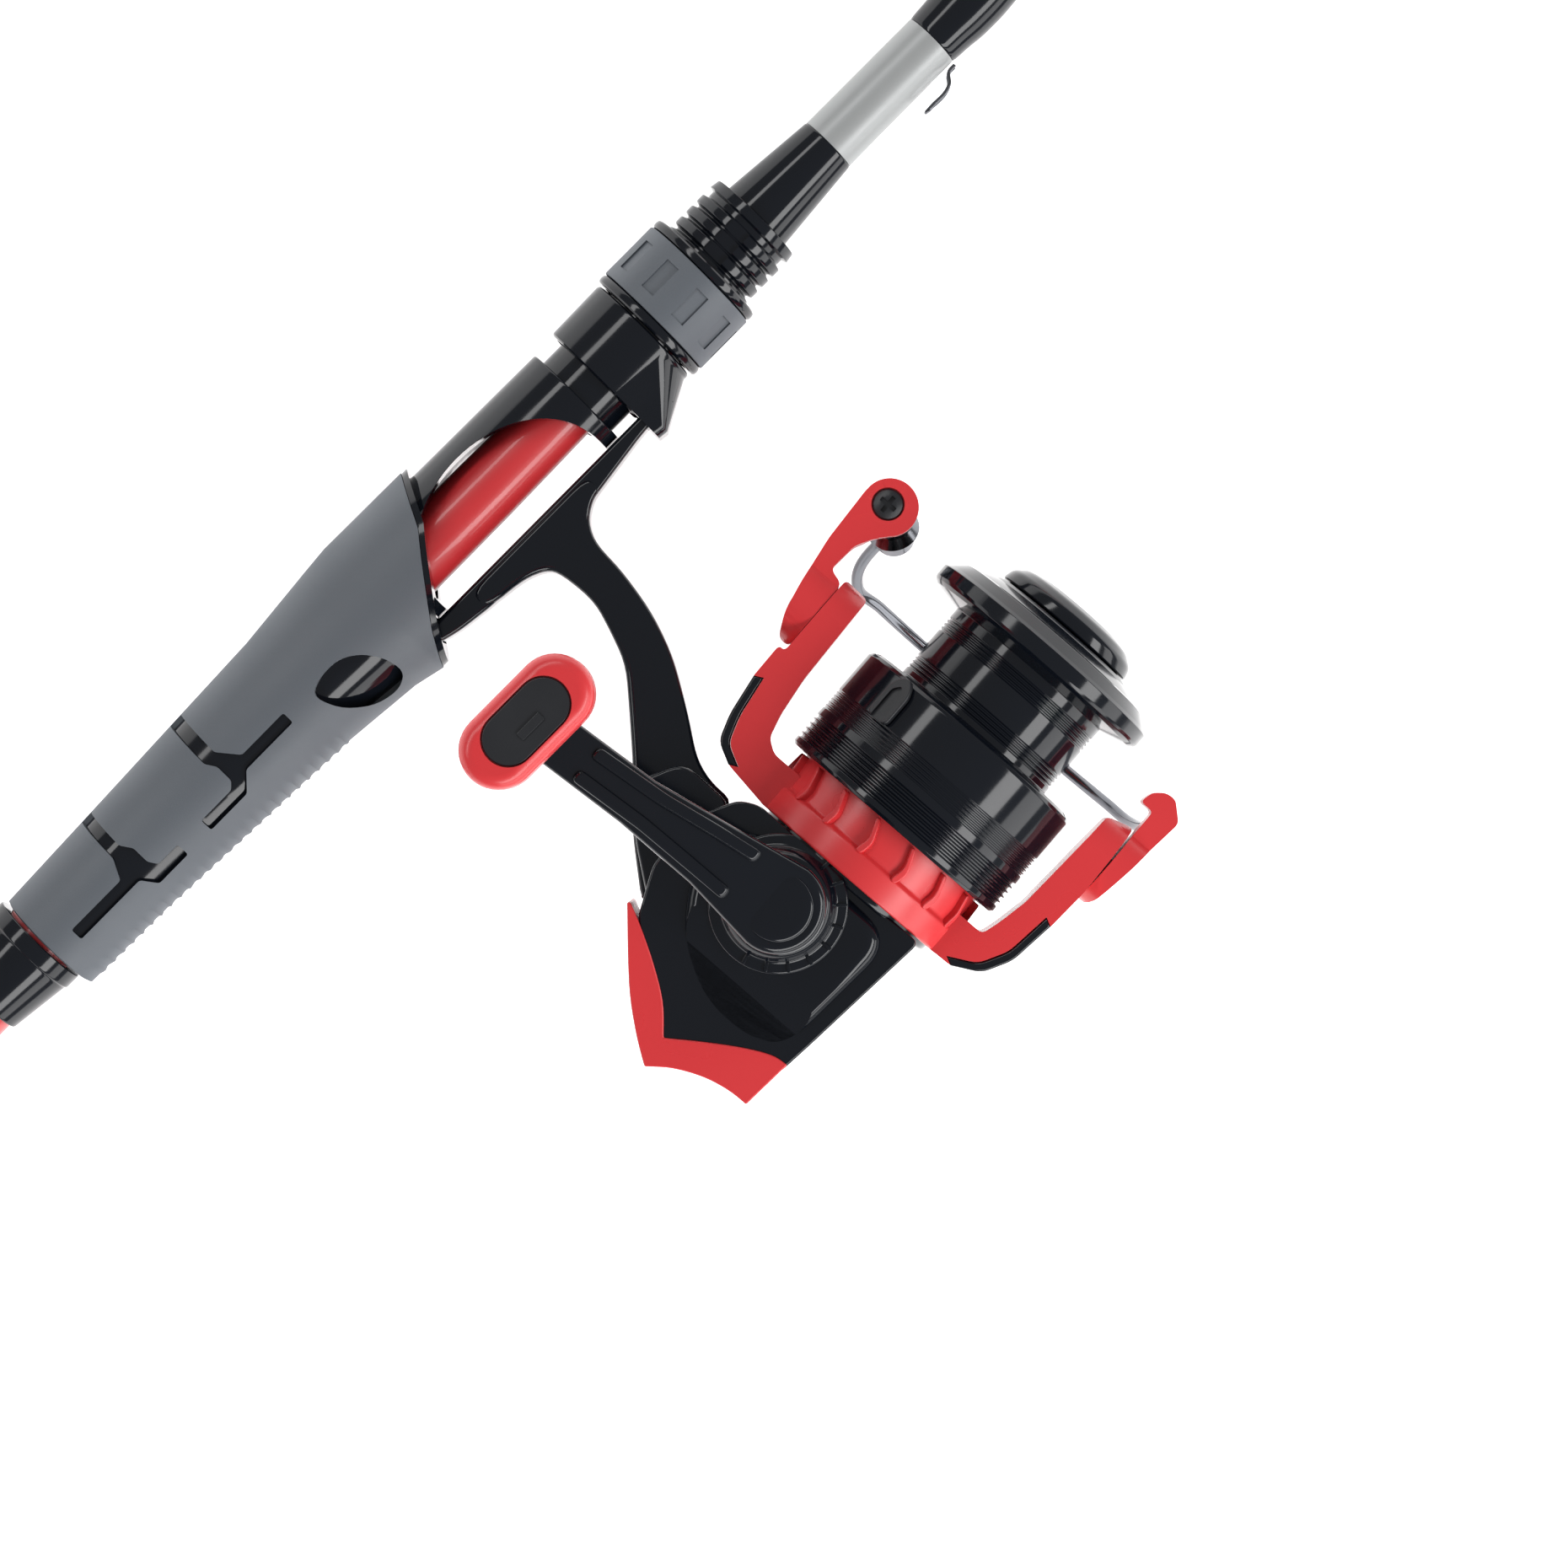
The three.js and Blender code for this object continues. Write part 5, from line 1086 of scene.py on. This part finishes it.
hub = arc(0, 0, 8.4, 180, 360, 24)
tip = arc(ARM_END_SHIFT, CRANK_RADIUS, 4.8, 10, 170, 16)
right_side = [(x + half, y) for x, y, half in ARM_LINE[1:]]
left_side = [(x - half, y) for x, y, half in reversed(ARM_LINE[1:])]
arm = slab(hub + right_side + tip + left_side, 0, ARM_ROOT_THICKNESS, 1.5, 5)
bmesh.ops.bisect_plane(
    arm, geom=list(arm.verts) + list(arm.edges) + list(arm.faces), plane_co=(0, 0, 0),
    plane_no=(0, 1, 0),
)
arm = leaned(arm)
ridges = []
for side in (-1, 1):
    line = [(side * 4.2, 8), (side * 3.6 - 0.6, 16), (side * 2.7 - 1.6, 27), (side * 2.5 - 2.8, 41)]
    near = [(x - 1.25, y) for x, y in line]
    far = [(x + 1.25, y) for x, y in reversed(line)]
    ridge = slab(rounded(near + far, 1.2), ARM_ROOT_THICKNESS - 1, ARM_ROOT_THICKNESS + 0.9, 0.85, 5)
    ridges.append(leaned(ridge))
arm_collar = standing(
    turned(
        [
            (CRANK_BOSS_TOP + 0.4, 0), (CRANK_BOSS_TOP + 0.4, 8.2), (ARM_BASE_Z + 3, 8.2),
            (ARM_BASE_Z + 3, 0),
        ],
        0.6,
    )
)
hub_cap = standing(turned([(38, 0), (38, 6.5), (41.3, 6.1), (41.6, 5), (41.6, 0)], 0.5))
place(together(arm, arm_collar, hub_cap, *ridges), "handle_arm_smooth", CRANK, "handle_arm", crease=45)

# %% [markdown]
# The knob's neck swells into the paddle. Its cap has a small raised bar instead of a mark.
# %% Knob and its cap
KNOB_BASE_Z = ARM_BASE_Z + ARM_SLOPE * CRANK_RADIUS + ARM_END_THICKNESS + 2
KNOB_END_Z = KNOB_BASE_Z + 25
KNOB = CRANK @ Matrix.Translation((ARM_END_SHIFT, CRANK_RADIUS, 0)) @ Matrix.Rotation(
    math.radians(-4), 4, "Z",
)


def slot_outline(length, width, steps=20):
    half = (length - width) / 2
    return arc(half, 0, width / 2, -90, 90, steps) + arc(-half, 0, width / 2, 90, 270, steps)


neck = standing(
    turned(
        [
            (KNOB_BASE_Z, 0), (KNOB_BASE_Z, 5), (KNOB_BASE_Z + 7, 4.6), (KNOB_BASE_Z + 14, 6),
            (KNOB_BASE_Z + 14, 0),
        ],
        0.8,
    )
)
under = slab(slot_outline(18.5, 10.2), KNOB_BASE_Z + 8, KNOB_BASE_Z + 14, 1.5, 4)
paddle = slab(slot_outline(26.5, 13.2), KNOB_BASE_Z + 12, KNOB_END_Z, 2.6, 8)
inset = slab(slot_outline(17.6, 9.4), KNOB_END_Z - 1.2, KNOB_END_Z + 1)
knob = together(neck, under, cut(paddle, inset))
place(knob, "handle_knob_smooth", KNOB, "handle_knob", crease=50)
cap_plate = slab(slot_outline(17.2, 9.0), KNOB_END_Z - 1.2, KNOB_END_Z - 0.25, 0.3, 3)
cap_bar = slab(
    rounded([(-2.6, -1.9), (2.6, -1.9), (2.6, -0.3), (-2.6, -0.3)], 0.3), KNOB_END_Z - 1,
    KNOB_END_Z + 0.1, 0.15, 2,
)
place(together(cap_plate, cap_bar), "knob_cap_smooth", KNOB, "knob_cap")
pin = standing(
    turned(
        [
            (KNOB_BASE_Z - 8.2, 0), (KNOB_BASE_Z - 8.2, 3.4), (KNOB_BASE_Z - 6.9, 3.4),
            (KNOB_BASE_Z - 6.9, 2.2), (KNOB_END_Z - 5, 2.2), (KNOB_END_Z - 5, 0),
        ],
        0.3,
    )
)
place(pin, "knob_pin_smooth", KNOB, "knob_pin")

# %% [markdown]
# ## Rotor
# The red rotor is a cup with two flat arms. The cup is turned, the arms are slabs of the packed
# part's outline with their ends cut round, and short slanting fins stand in the recess between the
# arms' bar and the spool's skirt.
# %% Rotor cup and arms
ROTOR_START = 12.5
ROTOR_R = 21
ROTOR_END = 36
WEB_START = 32.5
WEB_END = 35.5
BAR_END = 20.7
ARM_HALF = 8
PIVOT_X = 44.75
PIVOT_R = 8.05
UPPER_ARM_Y = 35.2
LOWER_ARM_Y = 33.4
COVER_T = 1.6
FIN_COUNT = 16
UPPER_OUTER = [(ROTOR_START, 20), (13.9, 29.5), (16, 33.6), (21, 35.3), (28.9, 36.5)]
LOWER_OUTER = [(ROTOR_START, -17), (12.7, -23.9), (15.4, -29), (20.6, -31.8), (29.6, -32.9)]
UPPER_ARM = UPPER_OUTER + [
    (PIVOT_X - 8.9, 36.6), (PIVOT_X - 8.9, UPPER_ARM_Y), (PIVOT_X + PIVOT_R, UPPER_ARM_Y),
    (PIVOT_X + 7.7, 29.9),
    (34.3, 29.25), (27, 28.3), (22.4, 27.1), (BAR_END, 24.6), (BAR_END, 18), (ROTOR_START, 18),
]
LOWER_ARM = LOWER_OUTER + [
    (37.9, -LOWER_ARM_Y), (PIVOT_X + PIVOT_R, 0.5 - LOWER_ARM_Y), (PIVOT_X + 6.5, -27.8), (30, -26.6),
    (24.1, -25.4), (BAR_END, -24.4), (BAR_END, -15), (ROTOR_START, -15),
]


def outer_strip(outer, side, near, far, bevel=0.0):
    """A strip along an arm's back, between two depths under its surface."""
    points = rounded(outer[1:], 1.5, closed=False)
    outline = [(p[0] + near * 0.5, p[1] - side * near) for p in points]
    outline += [(p[0] + far * 0.5, p[1] - side * far) for p in reversed(points)]
    return slab(outline, -ARM_HALF, ARM_HALF, bevel)


def arm_ends():
    outline = arc(PIVOT_X, 0, PIVOT_R, -85, 85, 40) + [
        (PIVOT_X - 20, ARM_HALF + 2), (0, ARM_HALF + 2), (0, -ARM_HALF - 2),
        (PIVOT_X - 20, -ARM_HALF - 2),
    ]
    return side_slab(outline, -60, 60)


arms = together(
    slab(rounded(UPPER_ARM, 1.0), -ARM_HALF, ARM_HALF),
    slab(rounded(LOWER_ARM, 1.0), -ARM_HALF, ARM_HALF),
)
strips = [outer_strip(UPPER_OUTER, 1, -3, COVER_T + 0.1), outer_strip(LOWER_OUTER, -1, -3, COVER_T + 0.1)]
inside = rod_of(0, 60, ROTOR_R - 1, 0)
bars = cut(common(arms, arm_ends()), *strips, inside)
soften(bars, sharp_edges(bars, 50), 0.7, 3)
cup = turned([
    (ROTOR_START, ROTOR_R - 1.8), (ROTOR_START, ROTOR_R), (17.4, ROTOR_R), (18, ROTOR_R - 1),
    (ROTOR_END, ROTOR_R - 1),
    (ROTOR_END, ROTOR_R - 1.8),
    (WEB_END, ROTOR_R - 1.8), (WEB_END, 2.9), (29, 2.9), (29, 6), (WEB_START, 6),
    (WEB_START, ROTOR_R - 1.8),
], 0.5)
fins = []
for number in range(FIN_COUNT):
    crescent = [(17.2, -2.6), (20, -3.1), (24.2, -1.4), (24.2, -0.5), (20.3, -2.0), (17.2, -1.2)]
    fin = slab(rounded(crescent, 1.0), ROTOR_R - 1.6, ROTOR_R + 0.2, 0.35)
    bmesh.ops.rotate(
        fin, verts=fin.verts, matrix=Matrix.Rotation(2 * math.pi * (number + 0.5) / FIN_COUNT, 3, "X"),
    )
    fins.append(fin)
place(together(bars, cup, *fins), "rotor_smooth", REEL, "rotor", crease=40)
place(outer_strip(UPPER_OUTER, 1, 0, COVER_T, 0.5), "arm_cover_upper_smooth", REEL, "arm_cover_upper")
place(outer_strip(LOWER_OUTER, -1, 0, COVER_T, 0.5), "arm_cover_lower_smooth", REEL, "arm_cover_lower")

# %% [markdown]
# ## Bail
# A red lever on the upper arm carries the line roller and one end of the wire. The other end
# sits in a leaf-shaped holder on the lower arm. Both turn on screws through the arms, so all
# of these pieces ride on the bail, and the wire runs as one smooth curve between them.
# %% Bail lever and holder
ROLLER_PLACE = (67.6, 37.8)
LEVER_END_Z = -2
LEVER_HALF = 5
ROLLER_R = 5
ROLLER_LENGTH = 6.5
ROLLER_TILT = math.radians(30)
WIRE_X = 54.1
WIRE_BOW = 41
WIRE_R = 1.1
away = Vector((0.58, 0.815, 0)) * math.sin(ROLLER_TILT)
roller_axis = Vector((away.x, away.y, math.cos(ROLLER_TILT))).normalized()
AT_ROLLER = (
    Matrix.Translation((*ROLLER_PLACE, LEVER_END_Z))
    @ Vector((0, 0, 1)).rotation_difference(roller_axis).to_matrix().to_4x4()
)


def at_roller(bm):
    bm.transform(AT_ROLLER)
    return bm


def pivot_hole(low, high, radius):
    hole = rod_of(low, high, radius, 0, 48)
    bmesh.ops.rotate(hole, verts=hole.verts, matrix=Matrix.Rotation(math.pi / 2, 3, "Z"))
    return moved(hole, PIVOT_X, 0, 0)


lever_foot = UPPER_ARM_Y + 0.1
LEVER = [
    (37, lever_foot), (51.5, lever_foot), (52.4, 38.6), (58.2, 38.1), (61.9, 36), (64, 34), (70.6, 34),
    (72.8, 37.8),
    (71.4, 41.4), (67.9, 43.1), (56.4, 42.5), (47.3, 41.1), (41.2, 39.8), (37, 37.7),
]
lever_side = arc(PIVOT_X, 0, PIVOT_R - 0.2, 40, 320, 48) + [
    (60, -LEVER_HALF), (75, LEVER_END_Z), (75, LEVER_HALF), (60, LEVER_HALF),
]
lever = common(slab(rounded(LEVER, 1.2), -12, 12), side_slab(lever_side, 30, 50))
lever_boss = moved(standing(rod_of(LEVER_END_Z, LEVER_HALF, 5.2)), *ROLLER_PLACE, 0)
cap_hole = moved(standing(rod_of(3.9, 10, 3.0)), ROLLER_PLACE[0] + 0.2, ROLLER_PLACE[1] + 0.6, 0)
underside = at_roller(standing(rod_of(-30, -0.3, ROLLER_R + 2)))
lever = cut(join(lever, lever_boss), cap_hole, underside, pivot_hole(38.9, 50, 3.2))
soften(lever, sharp_edges(lever, 45), 0.6, 3)
place(lever, "bail_lever_smooth", REEL, "bail_lever", crease=45)

holder_foot = -LOWER_ARM_Y - 0.1
HOLDER = [
    (36.8, holder_foot), (57.2, holder_foot), (57.2, -30.6), (59.8, -31.2), (61.4, -33.1),
    (61.6, -35.2), (58.6, -38.4),
    (47.3, -37.2), (38.4, -36), (36.8, -35),
]
holder_side = arc(PIVOT_X, 0, PIVOT_R - 0.2, 30, 330, 48) + [(58, -3.6), (62, -2.6), (62, 2.6), (58, 3.6)]
holder = common(slab(rounded(HOLDER, 0.9), -12, 12), side_slab(holder_side, -50, -20))
holder = cut(holder, pivot_hole(-50, holder_foot - 1.1, 3.2))
soften(holder, sharp_edges(holder, 45), 0.5, 3)
place(holder, "bail_holder_smooth", REEL, "bail_holder", crease=45)

# %% [markdown]
# The roller is a small turned spool with a waist for the line. The wire's thick end and eye hold
# its screw, and the wire then bows round behind the spool.
# %% Roller, wire and screws
def turned_at_roller(profile, radius=0.3):
    return at_roller(standing(turned(profile, radius, 64)))


back_end = -ROLLER_LENGTH - 0.3
roller = [
    (-0.6, 1.5), (-0.6, ROLLER_R), (-2.4, ROLLER_R - 1.4), (-4.2, ROLLER_R - 1.4), (back_end, ROLLER_R),
    (back_end, 1.5),
]
place(turned_at_roller(roller, 0.5), "line_roller_smooth", REEL, "line_roller")
place(
    turned_at_roller([(-9, 0), (-9, 1.2), (3.6, 1.2), (3.6, 0)], 0), "roller_screw_smooth", REEL,
    "roller_screw",
)
head = moved(screw_head(2.8, 1.3), ROLLER_PLACE[0] + 0.2, ROLLER_PLACE[1] + 0.6, 5.2)
place(head, "roller_screw_cap_smooth", REEL, "roller_screw_cap")
bow = []
for degrees in range(54, -55, -12):
    turn = math.radians(degrees)
    bow.append((WIRE_X, WIRE_BOW * math.sin(turn), -WIRE_BOW * math.cos(turn)))
wire_start = AT_ROLLER @ Vector((0, 0, -9.4))
second = wire_start + Vector((-3.4, 1.4, -3.4))
wire_path = [wire_start, second] + bow + [(56, -35.6, -12.5), (57.6, -34.9, -3.2)]
eye_start = -ROLLER_LENGTH - 0.6
wire_foot = turned_at_roller(
    [
        (-11.6, 0), (-11.6, 2.2), (-10.6, 3.6), (-8, 3.8), (eye_start, 4.4), (eye_start, 1.3),
        (-8, 1.3), (-8, 0),
    ]
)
place(together(wire(wire_path, WIRE_R, 20), wire_foot), "bail_wire_smooth", REEL, "bail_wire")


def pivot_screw(name, side, inner, top):
    shank = standing(turned([(inner, 0), (inner, 1.6), (top - 1, 1.6), (top - 1, 0)], 0, 48))
    shape = together(shank, moved(screw_head(3, 1.3), 0, 0, top))
    bmesh.ops.rotate(shape, verts=shape.verts, matrix=Matrix.Rotation(-side * math.pi / 2, 3, "X"))
    place(moved(shape, PIVOT_X, 0, 0), name + "_smooth", REEL, name)


pivot_screw("bail_pivot_screw_upper", 1, 30.4, 40.5)
pivot_screw("bail_pivot_screw_lower", -1, 28.6, 36.4)

# %% [markdown]
# ## Spool and drag knob
# The spool is one turned profile: a skirt over the rotor, a narrower barrel for line and a wide
# front lip. Groups of fine turned lines are cut as small steps in the profile itself, because they
# catch the light as a row of rings.
# %% Spool profile
SKIRT_START = 24.5
SKIRT_END = 46.6
SKIRT_R = 23.6
LINE_BARREL_R = 16.9
FLANGE_START = 61.9
FLANGE_R = 23.7
DRAG_CAVITY_R = 12.8
DRAG_KNOB_R = 14.4
DRAG_KNOB_END = 76.3
SPOOL_FRONT = 71.3


def ring_lines(start, count, pitch, radius, depth=0.28):
    """Profile points of a row of fine grooves."""
    points = []
    for number in range(count):
        x = start + number * pitch
        points += [
            (x, radius), (x + pitch * 0.25, radius - depth), (x + pitch * 0.5, radius - depth),
            (x + pitch * 0.75, radius),
        ]
    return points


profile = [
    (50, 1.7), (50, 4.5), (58, 4.5), (58, 14.9), (44.1, 14.9), (44.1, SKIRT_R - 1.6),
    (SKIRT_START, SKIRT_R - 1.6),
]
profile += [(SKIRT_START, SKIRT_R - 0.5), (SKIRT_START + 0.6, SKIRT_R)]
profile += ring_lines(SKIRT_START + 1.6, 5, 1.1, SKIRT_R, 0.5)
profile += ring_lines(SKIRT_START + 8.4, 6, 0.75, SKIRT_R - 0.05, 0.2)
profile += [
    (SKIRT_END - 1.2, SKIRT_R - 0.05), (SKIRT_END - 0.5, SKIRT_R - 0.5), (SKIRT_END, SKIRT_R - 1.4),
    (SKIRT_END, LINE_BARREL_R + 1.2),
]
profile += [(SKIRT_END + 0.5, LINE_BARREL_R)]
profile += ring_lines(48.2, 4, 0.8, LINE_BARREL_R) + ring_lines(57, 4, 0.8, LINE_BARREL_R)
profile += [
    (FLANGE_START, LINE_BARREL_R), (FLANGE_START + 1.2, FLANGE_R - 1.2),
    (FLANGE_START + 1.8, FLANGE_R - 0.3),
]
profile += [
    (FLANGE_START + 2.4, FLANGE_R), (FLANGE_START + 4.6, FLANGE_R),
    (FLANGE_START + 5.2, FLANGE_R - 0.8),
]
profile += [
    (FLANGE_START + 7.2, 20.6), (FLANGE_START + 7.4, 19.6), (SPOOL_FRONT - 0.6, 15.8),
    (SPOOL_FRONT, DRAG_KNOB_R + 0.4),
]
profile += [(SPOOL_FRONT, DRAG_CAVITY_R), (60.5, DRAG_CAVITY_R), (60.5, 1.7)]
spool = turned(profile, 0.12, 144)
place(spool, "spool_smooth", REEL, "spool", crease=38)

clip = slab(
    rounded([(-4.5, -2.6), (2, -2.6), (4.5, -1), (4.5, 1), (2, 2.6), (-4.5, 2.6)], 1.2), SKIRT_R + 0.05,
    SKIRT_R + 1.2, 0.35,
)
clip_slot = slab(
    rounded([(-5, -1.4), (1.4, -1.4), (2.8, 0), (1.4, 1.4), (-5, 1.4)], 0.6), SKIRT_R + 0.7,
    SKIRT_R + 3,
)
clip = moved(cut(clip, clip_slot), SKIRT_END - 5, 0, 0)
bmesh.ops.rotate(clip, verts=clip.verts, matrix=Matrix.Rotation(math.radians(-38), 3, "X"))
place(clip, "line_clip_smooth", REEL, "line_clip")

knob_profile = [
    (66.5, 1.7), (66.5, 12.3), (SPOOL_FRONT + 0.3, 12.3), (SPOOL_FRONT + 0.3, DRAG_KNOB_R),
    (SPOOL_FRONT + 2.6, DRAG_KNOB_R - 0.6),
    (SPOOL_FRONT + 4.2, DRAG_KNOB_R - 2.6), (DRAG_KNOB_END, DRAG_KNOB_R - 5.4), (DRAG_KNOB_END, 0),
    (74, 0), (74, 1.7),
]
place(turned(knob_profile, 0.7), "drag_knob_smooth", REEL, "drag_knob")
